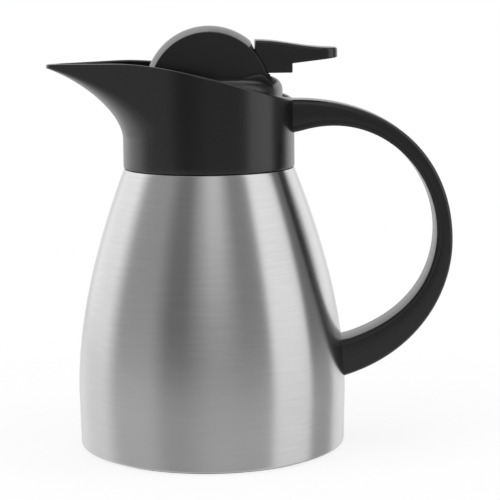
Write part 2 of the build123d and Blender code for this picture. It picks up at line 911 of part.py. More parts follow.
# Valve: disc and stem in one, with a spigot that holds the seal and a groove for the clip
clip_bottom = nose_top + clip_gap
clip_top = clip_bottom + clip_thickness
clip_radius = stem_radius + clip_width
groove_radius = stem_radius - clip_thickness / 2

with BuildPart() as valve_stem:
    with BuildSketch(Plane.XZ):
        with BuildLine():
            Polyline(
                (0, disc_bottom - valve_seal_thickness - spigot_head_height),
                (spigot_radius + spigot_head / 2, disc_bottom - valve_seal_thickness - spigot_head_height),
                (spigot_radius + spigot_head, disc_bottom - valve_seal_thickness),
                (spigot_radius, disc_bottom - valve_seal_thickness),
                (spigot_radius, disc_bottom),
                (valve_disc_radius, disc_bottom),
                (valve_disc_radius, disc_top),
                (stem_radius, disc_top),
                (stem_radius, clip_bottom),
                (groove_radius, clip_bottom),
                (groove_radius, clip_top),
                (stem_radius, clip_top),
                (stem_radius, clip_top + stem_top_over),
                (0, clip_top + stem_top_over),
                (0, disc_bottom - valve_seal_thickness - spigot_head_height),
            )
        make_face()
    revolve(axis=Axis.Z)
save(valve_stem.part, "valve_stem")

with BuildPart() as valve_seal:
    add(ring_of(spigot_radius, valve_seal_radius, seat_top, disc_bottom))
save(valve_seal.part, "valve_seal")

with BuildPart() as stem_clip:
    add(ring_of(groove_radius, clip_radius, clip_bottom, clip_top))
save(stem_clip.part, "stem_clip")

# Valve spring: one round wire along a helix between the disc and the guide
spring_low = disc_top + spring_gap + spring_wire / 2
spring_high = guide_bottom - spring_gap - spring_wire / 2

with BuildPart() as valve_spring:
    with BuildLine() as coil:
        Helix(
            pitch=(spring_high - spring_low) / spring_turns,
            height=spring_high - spring_low,
            radius=spring_radius,
            center=(0, 0, spring_low),
        )
    with BuildSketch(Plane(origin=coil.line @ 0, x_dir=(1, 0, 0), z_dir=coil.line % 0)):
        Circle(spring_wire / 2)
    sweep(is_frenet=True)
save(valve_spring.part, "valve_spring")

# Handle: a channel closed on its inner side by a cover strip, between three parallel loops

def pulled(point, lean, length):
    """Point a length away from another, in a direction given by its angle above +X."""
    return (point[0] + length * cos(radians(lean)), point[1] + length * sin(radians(lean)))


def handle_line(reach, middle, top, top_lean, bottom, pulls):
    """One loop of the handle in side view, from inside the collar round to inside the body."""
    root = (collar_radius, top)
    side = (reach, middle)
    foot = (handle_foot_x, bottom)
    root_run = (collar_radius - collar_bore) / cos(radians(top_lean))
    foot_run = (handle_foot_x - foot_inside_x) / cos(radians(handle_foot_lean))
    with BuildLine() as loop:
        Line(pulled(root, top_lean, -root_run), root)
        Bezier(root, pulled(root, top_lean, pulls[0]), (reach, middle + pulls[1]), side)
        Bezier(side, (reach, middle - pulls[2]), pulled(foot, handle_foot_lean, pulls[3]), foot)
        Line(foot, pulled(foot, handle_foot_lean, -foot_run))
    return loop.wire()


def outer_line(inset):
    """Outer loop of the handle, drawn in by an inset."""
    top = handle_top - inset
    bottom = handle_foot_bottom + inset
    return handle_line(handle_reach - inset, handle_outer_mid, top, 0, bottom, outer_pulls)


def inner_line(outset):
    """Inner loop of the handle, pushed out by an outset."""
    reach = handle_reach - handle_thickness + outset
    top = handle_root_low + outset
    bottom = handle_foot_top - outset
    return handle_line(reach, handle_inner_mid, top, handle_root_rise, bottom, inner_pulls)


def band(far, near):
    """Side view of the space between two loops of the handle."""
    with BuildSketch() as side:
        with BuildLine():
            add(far)
            add(near)
            Line(far @ 0, near @ 0)
            Line(far @ 1, near @ 1)
        make_face()
    return side.sketch


shell_seat = shell_blank(-handle_seat_gap)

with BuildPart() as handle_shell:
    with BuildSketch(side_plane(handle_half_width)):
        add(band(outer_line(0), inner_line(handle_cover_thickness + handle_cover_seam)))
    extrude(amount=2 * handle_half_width)
    fillet(handle_shell.edges().sort_by(SortBy.LENGTH)[-2:], handle_edge_round)
    with BuildSketch(side_plane(handle_half_width - handle_wall)):
        add(band(outer_line(handle_wall), inner_line(handle_cover_thickness)))
        with Locations((collar_radius, handle_top)):
            Rectangle(2 * handle_root_solid, 4 * handle_root_depth, mode=Mode.SUBTRACT)
        with Locations((handle_foot_x, handle_foot_bottom)):
            Rectangle(2 * handle_foot_solid, 2 * handle_foot_top, mode=Mode.SUBTRACT)
    extrude(amount=2 * (handle_half_width - handle_wall), mode=Mode.SUBTRACT)
    with BuildSketch(side_plane(bracket_half_width)):
        with Locations((bracket_end_x / 2, (bracket_bottom + bracket_top) / 2)):
            Rectangle(bracket_end_x, bracket_height)
    extrude(amount=2 * bracket_half_width, mode=Mode.SUBTRACT)
    with BuildSketch(Plane.XY.offset(foot_screw_seat)):
        with Locations((foot_screw_x, 0)):
            Circle(screw_radius)
    extrude(amount=bracket_foot, mode=Mode.SUBTRACT)
    with BuildSketch(Plane.XY.offset(foot_screw_seat)):
        with Locations((foot_screw_x, 0)):
            Circle(screw_head_radius)
    extrude(amount=-foot_screw_seat, mode=Mode.SUBTRACT)
    with BuildSketch(Plane.YZ.offset(collar_bore)):
        with Locations(*root_screw_places):
            Circle(screw_radius)
    extrude(amount=screw_length, mode=Mode.SUBTRACT)
    add(shell_seat, mode=Mode.SUBTRACT)
    add(collar_outside, mode=Mode.SUBTRACT)
save(handle_shell.part, "handle_shell")

with BuildPart() as handle_cover:
    with BuildSketch(side_plane(handle_half_width)):
        add(band(inner_line(handle_cover_thickness), inner_line(0)))
    extrude(amount=2 * handle_half_width)
    long_edges = handle_cover.edges().filter_by(lambda edge: edge.length > handle_inner_mid)
    fillet(long_edges.sort_by(SortBy.LENGTH)[:2], handle_edge_round)
    add(shell_seat, mode=Mode.SUBTRACT)
    add(collar_outside, mode=Mode.SUBTRACT)
save(handle_cover.part, "handle_cover")

# Handle bracket: a steel block welded to the shell, tapped for the screw from below
with BuildPart() as handle_bracket:
    with BuildSketch(side_plane(bracket_half_width)):
        with Locations((bracket_end_x / 2, (bracket_bottom + bracket_top) / 2)):
            Rectangle(bracket_end_x, bracket_height)
    extrude(amount=2 * bracket_half_width)
    with BuildSketch(Plane.XY.offset(bracket_bottom)):
        with Locations((foot_screw_x, 0)):
            Circle(screw_radius)
    extrude(amount=screw_length - bracket_foot, mode=Mode.SUBTRACT)
    add(shell_seat, mode=Mode.SUBTRACT)
save(handle_bracket.part, "handle_bracket")

with BuildPart() as handle_foot_screw:
    add(screw((foot_screw_x, 0, foot_screw_seat), (0, 0, 1), screw_radius,
              screw_head_radius, screw_head_height, screw_length))
save(handle_foot_screw.part, "handle_foot_screw")

with BuildPart() as handle_root_screws:
    for y, height in root_screw_places:
        add(screw((collar_bore, y, height), (1, 0, 0), screw_radius,
                  screw_head_radius, screw_head_height, screw_length))
save(handle_root_screws.part, "handle_root_screws")
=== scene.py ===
"""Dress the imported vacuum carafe: steel wall, pouring collar, handle, stopper and lever.

Sizes are written in millimetres and scaled to metres as each mesh is finished.
"""
import json
import logging
import math
from dataclasses import dataclass
from enum import Enum
from typing import Any, Callable, Optional, Sequence, Union

import bmesh
import bpy
from mathutils import Matrix, Vector


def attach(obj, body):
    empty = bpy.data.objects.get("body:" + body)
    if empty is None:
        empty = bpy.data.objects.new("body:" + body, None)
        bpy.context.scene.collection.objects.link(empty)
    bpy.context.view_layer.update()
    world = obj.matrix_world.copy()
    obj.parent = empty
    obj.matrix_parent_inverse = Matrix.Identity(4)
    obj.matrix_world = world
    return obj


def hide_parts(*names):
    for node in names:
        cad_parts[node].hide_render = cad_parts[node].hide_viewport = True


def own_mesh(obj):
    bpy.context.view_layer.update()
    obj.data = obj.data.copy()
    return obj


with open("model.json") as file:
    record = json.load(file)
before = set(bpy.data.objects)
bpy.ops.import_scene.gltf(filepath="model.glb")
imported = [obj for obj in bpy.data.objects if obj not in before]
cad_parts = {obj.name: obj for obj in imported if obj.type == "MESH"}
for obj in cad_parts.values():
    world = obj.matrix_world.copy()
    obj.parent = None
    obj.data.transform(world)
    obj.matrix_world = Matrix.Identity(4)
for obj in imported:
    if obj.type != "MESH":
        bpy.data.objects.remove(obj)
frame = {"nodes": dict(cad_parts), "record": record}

LOG = logging.getLogger("carafe")
MM = 0.001
Point = tuple[float, float]
Triple = tuple[float, float, float]
Quad = tuple[float, float, float, float]
Number = Union[int, float]

# Distances in millimetres: points closer than WELD are merged, edges shorter than SLIVER dissolved
WELD = 1e-4
SLIVER = 2e-4
CUT_SLACK = 1e-5
HALVINGS = 40


class Body(Enum):
    """Moving groups that the pieces ride on."""

    CARAFE = "carafe"
    STOPPER = "stopper"
    LEVER = "lever"


class Side(Enum):
    """Stretches of the collar in plan."""

    BACK = "back"
    LEFT = "left"
    RIGHT = "right"


class Slot(Enum):
    """Material slots of the record."""

    BRUSHED_STEEL = "brushed_steel"
    LINER_STEEL = "liner_steel"
    BRAZE = "braze"
    GETTER = "getter"
    RUBBER_PAD = "rubber_pad"
    BLACK_PLASTIC = "black_plastic"
    INNER_PLASTIC = "inner_plastic"
    SILICONE = "silicone"
    FASTENER_STEEL = "fastener_steel"


class Value:
    """A number on a shader socket. Arithmetic on it adds Math nodes."""

    def __init__(self, graph: "Graph", socket: bpy.types.NodeSocket) -> None:
        """Keep the graph and the output socket that carries the number."""
        self.graph = graph
        self.socket = socket

    def math(self, operation: str, other: Union["Value", Number, None] = None, swap: bool = False) -> "Value":
        """Add one Math node.

        Args:
            operation: The node's operation.
            other: The second operand, if the operation has one.
            swap: Whether the other operand comes first.

        Returns:
            The node's result.
        """
        operands = [self, other] if other is not None else [self]
        if swap:
            operands.reverse()
        inputs = dict(enumerate(operands))
        return self.graph.value("ShaderNodeMath", {"operation": operation}, inputs)

    def __add__(self, other: Union["Value", Number]) -> "Value":
        """Sum."""
        return self.math("ADD", other)

    __radd__ = __add__

    def __sub__(self, other: Union["Value", Number]) -> "Value":
        """Difference."""
        return self.math("SUBTRACT", other)

    def __rsub__(self, other: Union["Value", Number]) -> "Value":
        """Difference from a number."""
        return self.math("SUBTRACT", other, swap=True)

    def __mul__(self, other: Union["Value", Number]) -> "Value":
        """Product."""
        return self.math("MULTIPLY", other)

    __rmul__ = __mul__

    def __truediv__(self, other: Union["Value", Number]) -> "Value":
        """Quotient."""
        return self.math("DIVIDE", other)

    def __rtruediv__(self, other: Union["Value", Number]) -> "Value":
        """Quotient of a number."""
        return self.math("DIVIDE", other, swap=True)


class Graph:
    """A node tree that is emptied and then filled by short calls."""

    def __init__(self, tree: bpy.types.NodeTree) -> None:
        """Empty the tree and keep it."""
        self.tree = tree
        tree.nodes.clear()

    def node(self, kind: str, settings: Optional[dict[str, Any]] = None,
             inputs: Optional[dict[Union[str, int], Any]] = None) -> bpy.types.Node:
        """Add a node, set its settings, and then fill its inputs.

        Args:
            kind: The node's type.
            settings: Attribute values, and stops for a colour ramp.
            inputs: Values, or Value and socket links, by the input's name or place.

        Returns:
            The node.
        """
        made = self.tree.nodes.new(kind)
        for name, setting in (settings or {}).items():
            if name == "stops":
                self.fill_ramp(made, setting)
            else:
                setattr(made, name, setting)
        for key, given in (inputs or {}).items():
            source = given.socket if isinstance(given, Value) else given
            if isinstance(source, bpy.types.NodeSocket):
                self.tree.links.new(source, made.inputs[key])
            else:
                made.inputs[key].default_value = source
        return made

    def fill_ramp(self, node: bpy.types.Node, stops: Sequence[tuple[float, tuple[float, ...]]]) -> None:
        """Give a colour ramp its stops.

        Args:
            node: The colour ramp.
            stops: Pairs of a place and a colour.
        """
        elements = node.color_ramp.elements
        while len(elements) > 1:
            elements.remove(elements[-1])
        elements[0].position, elements[0].color = stops[0]
        for position, color in stops[1:]:
            elements.new(position).color = color

    def value(self, kind: str, settings: Optional[dict[str, Any]] = None,
              inputs: Optional[dict[Union[str, int], Any]] = None, output: Union[str, int] = 0) -> Value:
        """Add a node and take one of its outputs as a number.

        Args:
            kind: The node's type.
            settings: Attribute values.
            inputs: Values or links.
            output: The output's name or place.

        Returns:
            The output as a Value.
        """
        return Value(self, self.node(kind, settings, inputs).outputs[output])

    def mix(self, share: Value, first: Any, second: Any) -> bpy.types.NodeSocket:
        """Mix two colours.

        Args:
            share: Share of the second.
            first: The first colour, or a link.
            second: The second colour, or a link.

        Returns:
            The colour socket.
        """
        return self.node("ShaderNodeMix", {"data_type": "RGBA"},
                         {"Factor": share, "A": first, "B": second}).outputs["Result"]

    def noise(self, place: Value, scale: float, detail: float, roughness: float = 0.5) -> Value:
        """Add a noise pattern.

        Args:
            place: Where it is read.
            scale: Its scale.
            detail: Its levels of detail.
            roughness: How strong its finer levels are.

        Returns:
            The pattern, from 0 to 1.
        """
        return self.value("ShaderNodeTexNoise", None,
                          {"Vector": place, "Scale": scale, "Detail": detail, "Roughness": roughness})

    def smooth(self, source: Value, span: Point, result: Point = (0.0, 1.0)) -> Value:
        """Add a smooth change from one number to another.

        Args:
            source: The number that it follows.
            span: Where the change starts and ends.
            result: The numbers before and after it.

        Returns:
            The changing number.
        """
        return self.value("ShaderNodeMapRange", {"interpolation_type": "SMOOTHSTEP"},
                          {"Value": source, "From Min": span[0], "From Max": span[1],
                           "To Min": result[0], "To Max": result[1]})


@dataclass(frozen=True)
class Finish:
    """A plain finish with a fine grain and a slow change of gloss."""

    name: str
    color: Triple
    second_color: Triple
    roughness: float = 0.4
    roughness_spread: float = 0.08
    metallic: float = 0.0
    grain_scale: float = 1500.0
    grain_height: float = 0.00002
    patch_scale: float = 30.0
    patch_share: float = 0.6

    def grain(self, graph: Graph, place: Value) -> Value:
        """Height of the finest texture, from 0 to 1, on Object coordinates."""
        return graph.noise(place, scale=self.grain_scale, detail=2.0)

    def make(self) -> bpy.types.Material:
        """Build the material.

        Returns:
            The material.
        """
        material = bpy.data.materials.new(self.name)
        material.use_nodes = True
        graph = Graph(material.node_tree)
        place = graph.value("ShaderNodeTexCoord", output="Object")
        grain = self.grain(graph, place)
        patches = graph.noise(place, scale=self.patch_scale, detail=3.0)
        mottle = patches * self.patch_share + grain * (1 - self.patch_share)
        color = graph.mix(mottle, (*self.color, 1.0), (*self.second_color, 1.0))
        roughness = self.roughness + (mottle - 0.5) * (2.0 * self.roughness_spread)
        bump = graph.node("ShaderNodeBump", None,
                          {"Strength": 1.0, "Distance": self.grain_height, "Height": grain})
        shader = graph.node("ShaderNodeBsdfPrincipled", None,
                            {"Base Color": color, "Metallic": self.metallic, "Roughness": roughness,
                             "Normal": bump.outputs["Normal"]})
        self.tune(shader)
        graph.node("ShaderNodeOutputMaterial", None, {"Surface": shader.outputs["BSDF"]})
        return material

    def tune(self, shader: bpy.types.Node) -> None:
        """Set what is the same all over the surface. A plain finish has nothing to set."""


@dataclass(frozen=True)
class BrushedSteel(Finish):
    """Steel brushed round its axis: long level lines and stretched reflections."""

    metallic: float = 1.0
    line_scale: float = 1000.0
    round_scale: float = 60.0
    stretch: float = 0.55
    stretch_turn: float = 0.25

    def grain(self, graph: Graph, place: Value) -> Value:
        """Height of the brushed lines.

        Args:
            graph: The material's graph.
            place: Object coordinates.

        Returns:
            The height, from 0 to 1.
        """
        scales = (self.round_scale, self.round_scale, self.line_scale)
        drawn = graph.value("ShaderNodeVectorMath", {"operation": "MULTIPLY"}, {0: place, 1: scales})
        return graph.noise(drawn, scale=1.0, detail=3.0, roughness=0.6)

    def tune(self, shader: bpy.types.Node) -> None:
        """Stretch the reflections across the brushing, so that they run up and down the wall."""
        shader.inputs["Anisotropic"].default_value = self.stretch
        shader.inputs["Anisotropic Rotation"].default_value = self.stretch_turn


FINISHES: dict[Slot, Finish] = {
    Slot.BRUSHED_STEEL: BrushedSteel(
        "brushed_body_steel", (0.39, 0.39, 0.39), (0.55, 0.55, 0.55), roughness=0.24,
        roughness_spread=0.04, grain_height=0.0000028, patch_scale=14.0, stretch=0.85),
    Slot.LINER_STEEL: BrushedSteel(
        "drawn_steel", (0.56, 0.56, 0.56), (0.62, 0.62, 0.62), roughness=0.34,
        grain_height=0.00001, line_scale=600.0),
    Slot.BRAZE: Finish(
        "braze_bead", (0.52, 0.45, 0.30), (0.58, 0.50, 0.36), roughness=0.35, metallic=1.0,
        grain_scale=500.0, grain_height=0.00006),
    Slot.GETTER: Finish(
        "sintered_pill", (0.16, 0.16, 0.17), (0.24, 0.24, 0.25), roughness=0.8,
        grain_scale=700.0, grain_height=0.00008),
    Slot.RUBBER_PAD: Finish(
        "pad_rubber", (0.022, 0.022, 0.022), (0.034, 0.034, 0.034), roughness=0.75,
        grain_scale=900.0, grain_height=0.00004),
    Slot.BLACK_PLASTIC: Finish(
        "satin_black_moulding", (0.0035, 0.0035, 0.0038), (0.0055, 0.0055, 0.006), roughness=0.24,
        roughness_spread=0.04, grain_scale=2200.0, grain_height=0.000018),
    Slot.INNER_PLASTIC: Finish(
        "natural_moulding", (0.72, 0.72, 0.70), (0.76, 0.76, 0.74), roughness=0.45),
    Slot.SILICONE: Finish(
        "soft_silicone", (0.50, 0.50, 0.49), (0.56, 0.56, 0.55), roughness=0.6),
    Slot.FASTENER_STEEL: Finish(
        "fastener_steel_plain", (0.50, 0.50, 0.51), (0.58, 0.58, 0.59), roughness=0.32, metallic=1.0),
}


@dataclass(frozen=True)
class Dress:
    """What a finished mesh needs to join the model."""

    name: str
    body: Body
    slot: Slot
    replaces: tuple[str, ...]
    sharp_angle: float

    def put_on(self, mesh: bmesh.types.BMesh) -> bpy.types.Object:
        """Args:
            mesh: The mesh in millimetres. It is freed.

        Returns:
            The object.
        """
        bmesh.ops.dissolve_degenerate(mesh, dist=SLIVER, edges=mesh.edges)
        bmesh.ops.scale(mesh, vec=(MM, MM, MM), verts=mesh.verts)
        bmesh.ops.recalc_face_normals(mesh, faces=mesh.faces)
        data = bpy.data.meshes.new(self.name)
        mesh.to_mesh(data)
        mesh.free()
        for face in data.polygons:
            face.use_smooth = True
        data.set_sharp_from_angle(angle=math.radians(self.sharp_angle))
        made = bpy.data.objects.new(self.name, data)
        bpy.context.scene.collection.objects.link(made)
        data.materials.append(bpy.data.materials[FINISHES[self.slot].name])
        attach(made, self.body.value)
        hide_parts(*self.replaces)
        LOG.info("%s: %d faces on %s", self.name, len(data.polygons), self.body.value)
        return made


def curve(points: Sequence[Point], step: float) -> Point:
    """Point on a curve that its inner points pull towards them.

    Args:
        points: The start, one or two pulls, and the end.
        step: Place along it, from 0 to 1.

    Returns:
        The point.
    """
    order = len(points) - 1
    shares = [math.comb(order, index) * (1.0 - step) ** (order - index) * step ** index
              for index in range(order + 1)]
    return (sum(share * point[0] for share, point in zip(shares, points)),
            sum(share * point[1] for share, point in zip(shares, points)))


def curve_line(points: Sequence[Point], steps: int) -> list[Point]:
    """Points at even steps along a curve, both ends included."""
    return [curve(points, index / steps) for index in range(steps + 1)]


def read_off(line: Sequence[Point], place: float) -> float:
    """Read a value off a line of points.

    Args:
        line: Pairs of a place and a value, with rising places.
        place: Where to read.

    Returns:
        The value. Past the last point it stays the same.
    """
    for (start, low), (end, high) in zip(line, line[1:]):
        if place <= end:
            return low + (high - low) * (place - start) / (end - start)
    return line[-1][1]


def step_of(rising: Callable[[float], float], target: float) -> float:
    """Find where a rising function reaches a target, by halving.

    Args:
        rising: Function of a step from 0 to 1.
        target: The value to reach.

    Returns:
        The step.
    """
    low, high = 0.0, 1.0
    for _ in range(HALVINGS):
        middle = (low + high) / 2
        if rising(middle) < target:
            low = middle
        else:
            high = middle
    return (low + high) / 2


def quarter_turn(segments: int, quarter: int = 0) -> list[float]:
    """Angles in radians at even steps through a quarter of a circle, both ends included."""
    return [math.radians(90 * (quarter + index / segments)) for index in range(segments + 1)]


def rounded(corners: Sequence[Triple], segments: int = 5) -> list[Point]:
    """Round the corners of an open line.

    Args:
        corners: Points, each with the radius that it is rounded by, or 0.
        segments: Segments in each rounding.

    Returns:
        The line's points.
    """
    line: list[Point] = []
    for index, (across, up, radius) in enumerate(corners):
        here = Vector((across, up))
        if radius <= 0 or index in (0, len(corners) - 1):
            line.append((across, up))
            continue
        back = Vector(corners[index - 1][:2]) - here
        ahead = Vector(corners[index + 1][:2]) - here
        half = back.angle(ahead) / 2
        reach = radius / math.tan(half)
        start = here + back.normalized() * reach
        end = here + ahead.normalized() * reach
        centre = here + (back.normalized() + ahead.normalized()).normalized() * radius / math.sin(half)
        first = start - centre
        sweep = (end - centre).angle_signed(first)
        for step in range(segments + 1):
            turn = Matrix.Rotation(sweep * step / segments, 2)
            spot = centre + turn @ first
            line.append((spot.x, spot.y))
    return line


def spun(places: Sequence[Triple], steps: int, closed: bool, centre: Triple = (0.0, 0.0, 0.0),
         axis: Triple = (0.0, 0.0, 1.0)) -> bmesh.types.BMesh:
    """Spin a line of points a full turn.

    Args:
        places: The line's points.
        steps: Steps round the axis.
        closed: Whether the last point joins the first.
        centre: A point on the axis.
        axis: The axis's direction.

    Returns:
        The mesh in millimetres.
    """
    mesh = bmesh.new()
    verts = [mesh.verts.new(place) for place in places]
    edges = [mesh.edges.new(pair) for pair in zip(verts, verts[1:])]
    if closed:
        edges.append(mesh.edges.new((verts[-1], verts[0])))
    bmesh.ops.spin(mesh, geom=verts + edges, cent=centre, axis=axis, dvec=(0, 0, 0),
                   angle=2 * math.pi, steps=steps, use_merge=True, use_duplicate=False)
    bmesh.ops.remove_doubles(mesh, verts=mesh.verts, dist=WELD)
    return mesh


def turned(profile: Sequence[Point], steps: int, closed: bool = True) -> bmesh.types.BMesh:
    """Turn a profile of radius and height round the vertical axis."""
    return spun([(radius, 0.0, height) for radius, height in profile], steps, closed)


def box_ring(start: Vector, end: Vector, half_width: float, near_round: float, far_round: float,
             segments: int) -> list[Vector]:
    """Closed ring of a rounded rectangle that is even about the middle plane.

    Args:
        start: Middle of its near side.
        end: Middle of its far side.
        half_width: Half of its width along Y.
        near_round: Rounding of the corners at the start.
        far_round: Rounding of the corners at the end.
        segments: Segments in each rounding.

    Returns:
        The ring.
    """
    depth = (end - start).length
    along = (end - start).normalized()
    across = Vector((0, 1, 0))
    corners = ((1, near_round, near_round, 3), (1, depth - far_round, far_round, 0),
               (-1, depth - far_round, far_round, 1), (-1, near_round, near_round, 2))
    ring = []
    for side, level, radius, quarter in corners:
        centre = start + across * side * (half_width - radius) + along * level
        ring += [centre + radius * (across * math.cos(turn) + along * math.sin(turn))
                 for turn in quarter_turn(segments, quarter)]
    return ring


def first_ring(mesh: bmesh.types.BMesh, places: Sequence[Vector]) -> list[bmesh.types.BMVert]:
    """Start a swept surface with one closed ring.

    Args:
        mesh: The mesh to add to.
        places: Where the ring's points stand.

    Returns:
        The ring's points in order.
    """
    ring = bmesh.ops.create_circle(mesh, cap_ends=False, radius=1.0, segments=len(places))["verts"]
    for vert, place in zip(ring, places):
        vert.co = place
    return ring


def next_ring(mesh: bmesh.types.BMesh, ring: Sequence[bmesh.types.BMVert],
              places: Sequence[Vector]) -> list[bmesh.types.BMVert]:
    """Extrude a ring to its next place.

    Args:
        mesh: The mesh that holds the ring.
        ring: The last ring, in order.
        places: Where the new ring's points stand.

    Returns:
        The new ring's points in order.
    """
    pairs = zip(ring, list(ring[1:]) + [ring[0]])
    made = bmesh.ops.extrude_edge_only(mesh, edges=[mesh.edges.get(pair) for pair in pairs])["geom"]
    fresh = {item for item in made if isinstance(item, bmesh.types.BMVert)}
    result = []
    for vert, place in zip(ring, places):
        partner = next(edge.other_vert(vert) for edge in vert.link_edges if edge.other_vert(vert) in fresh)
        partner.co = place
        result.append(partner)
    return result


def swept(rings: Sequence[Sequence[Vector]], capped: bool) -> bmesh.types.BMesh:
    """Make one surface through a row of rings.

    Args:
        rings: The rings, all with the same number of points.
        capped: Whether the ends are closed, or else the last ring meets the first.

    Returns:
        The mesh in millimetres.
    """
    mesh = bmesh.new()
    first = first_ring(mesh, rings[0])
    last = first
    for places in rings[1:]:
        last = next_ring(mesh, last, places)
    if capped:
        for end in (first, last):
            bmesh.ops.contextual_create(mesh, geom=end)
    else:
        bmesh.ops.remove_doubles(mesh, verts=first + last, dist=WELD)
    return mesh


def oblong(left: float, right: float, low: float, high: float) -> list[Point]:
    """Corners of an upright rectangle in side view."""
    return [(left, low), (right, low), (right, high), (left, high)]


def slab(outline: Sequence[Point], half_width: float) -> bmesh.types.BMesh:
    """Extrude a side view evenly about the middle plane.

    Args:
        outline: Points in side view, X and Z.
        half_width: Half of the width along Y.

    Returns:
        The mesh in millimetres.
    """
    mesh = bmesh.new()
    verts = [mesh.verts.new((x, -half_width, z)) for x, z in outline]
    face = bmesh.ops.contextual_create(mesh, geom=verts)["faces"][0]
    made = bmesh.ops.extrude_face_region(mesh, geom=[face])["geom"]
    moved = [item for item in made if isinstance(item, bmesh.types.BMVert)]
    bmesh.ops.translate(mesh, vec=(0, 2 * half_width, 0), verts=moved)
    bmesh.ops.recalc_face_normals(mesh, faces=mesh.faces)
    return mesh


def join_in(mesh: bmesh.types.BMesh, extra: bmesh.types.BMesh) -> None:
    """Add one mesh to another as a separate shell.

    Args:
        mesh: The mesh to add to.
        extra: The mesh to add. It is freed.
    """
    bmesh.ops.recalc_face_normals(extra, faces=extra.faces)
    data = bpy.data.meshes.new("extra")
    extra.to_mesh(data)
    extra.free()
    mesh.from_mesh(data)
    bpy.data.meshes.remove(data)


def cut_away(mesh: bmesh.types.BMesh, cutter: bmesh.types.BMesh) -> bmesh.types.BMesh:
    """Take one closed mesh out of another. Both are freed.

    Args:
        mesh: The mesh to keep.
        cutter: The mesh to take away.

    Returns:
        The difference.
    """
    pair = []
    for part in (mesh, cutter):
        bmesh.ops.recalc_face_normals(part, faces=part.faces)
        data = bpy.data.meshes.new("cut")
        part.to_mesh(data)
        part.free()
        made = bpy.data.objects.new("cut", data)
        bpy.context.scene.collection.objects.link(made)
        pair.append(made)
    modifier = pair[0].modifiers.new("cut", "BOOLEAN")
    modifier.object = pair[1]
    modifier.operation = "DIFFERENCE"
    modifier.solver = "EXACT"
    bpy.context.view_layer.update()
    evaluated = pair[0].evaluated_get(bpy.context.evaluated_depsgraph_get())
    result = bmesh.new()
    result.from_mesh(evaluated.to_mesh())
    for made in pair:
        data = made.data
        bpy.data.objects.remove(made)
        bpy.data.meshes.remove(data)
    return result


@dataclass
class FlaskWall:
    """The outer steel wall: foot, belly, tapering side, shoulder step and neck."""

    belly_radius: float = 65.2
    belly_height: float = 27.0
    foot_radius: float = 64.6
    foot_height: float = 1.0
    foot_round: float = 1.4
    foot_hem: float = 3.0
    shoulder_radius: float = 41.1
    shoulder_height: float = 135.9
    shoulder_lean: float = 0.39
    shoulder_round: float = 0.5
    step_width: float = 2.8
    step_rise: float = 2.2
    step_low_round: float = 0.6
    step_high_round: float = 1.2
    neck_radius: float = 31.0
    neck_base: float = 142.8
    neck_round: float = 2.0
    lip_height: float = 151.0
    lip_round: float = 0.3
    wall: float = 0.6
    foot_segments: int = 8
    side_steps: int = 60
    turn_steps: int = 256
    dress: Dress = Dress(
        "steel_wall", Body.CARAFE, Slot.BRUSHED_STEEL, ("outer_shell", "outer_neck"), sharp_angle=28.0)

    def side(self, inset: float) -> list[Point]:
        """Points from the belly to the shoulder, parallel to the outside.

        Args:
            inset: How far they are drawn in.

        Returns:
            The points.
        """
        rise = (self.belly_radius - self.shoulder_radius) / self.shoulder_lean
        return curve_line([(self.belly_radius - inset, self.belly_height),
                           (self.belly_radius - inset, self.shoulder_height - rise),
                           (self.shoulder_radius - inset, self.shoulder_height - inset)], self.side_steps)

    def radius_at(self, height: float) -> float:
        """Radius of the outside at a height on the belly or the side."""
        side = [(up, radius) for radius, up in self.side(0)]
        return read_off([(self.foot_height, self.foot_radius), *side], height)

    def profile(self) -> list[Point]:
        """Closed section of the wall.

        Returns:
            Radius and height of each point.
        """
        step_radius = self.shoulder_radius - self.step_width
        step_top = self.shoulder_height + self.step_rise
        foot = rounded([(self.foot_radius - self.foot_hem, self.foot_height, 0),
                        (self.foot_radius, self.foot_height, self.foot_round),
                        (self.belly_radius, self.belly_height, 0)], self.foot_segments)[:-1]
        outside = self.side(0)
        crown = rounded([(*outside[-2], 0), (*outside[-1], self.shoulder_round),
                         (step_radius, self.shoulder_height, self.step_low_round),
                         (step_radius, step_top, self.step_high_round),
                         (self.neck_radius, self.neck_base, self.neck_round),
                         (self.neck_radius, self.lip_height, self.lip_round),
                         (self.neck_radius - self.wall, self.lip_height, 0)])[1:]
        back = [(self.neck_radius - self.wall, self.neck_base - self.wall),
                (step_radius - self.wall, step_top - self.wall),
                (step_radius - self.wall, self.shoulder_height - self.wall)]
        inside = list(reversed(self.side(self.wall)))
        hem = [(self.foot_radius - self.wall, self.foot_height + self.wall),
               (self.foot_radius - self.foot_hem, self.foot_height + self.wall)]
        return foot + outside[:-1] + crown + back + inside + hem

    def build(self) -> None:
        """Make the wall."""
        self.dress.put_on(turned(self.profile(), self.turn_steps))


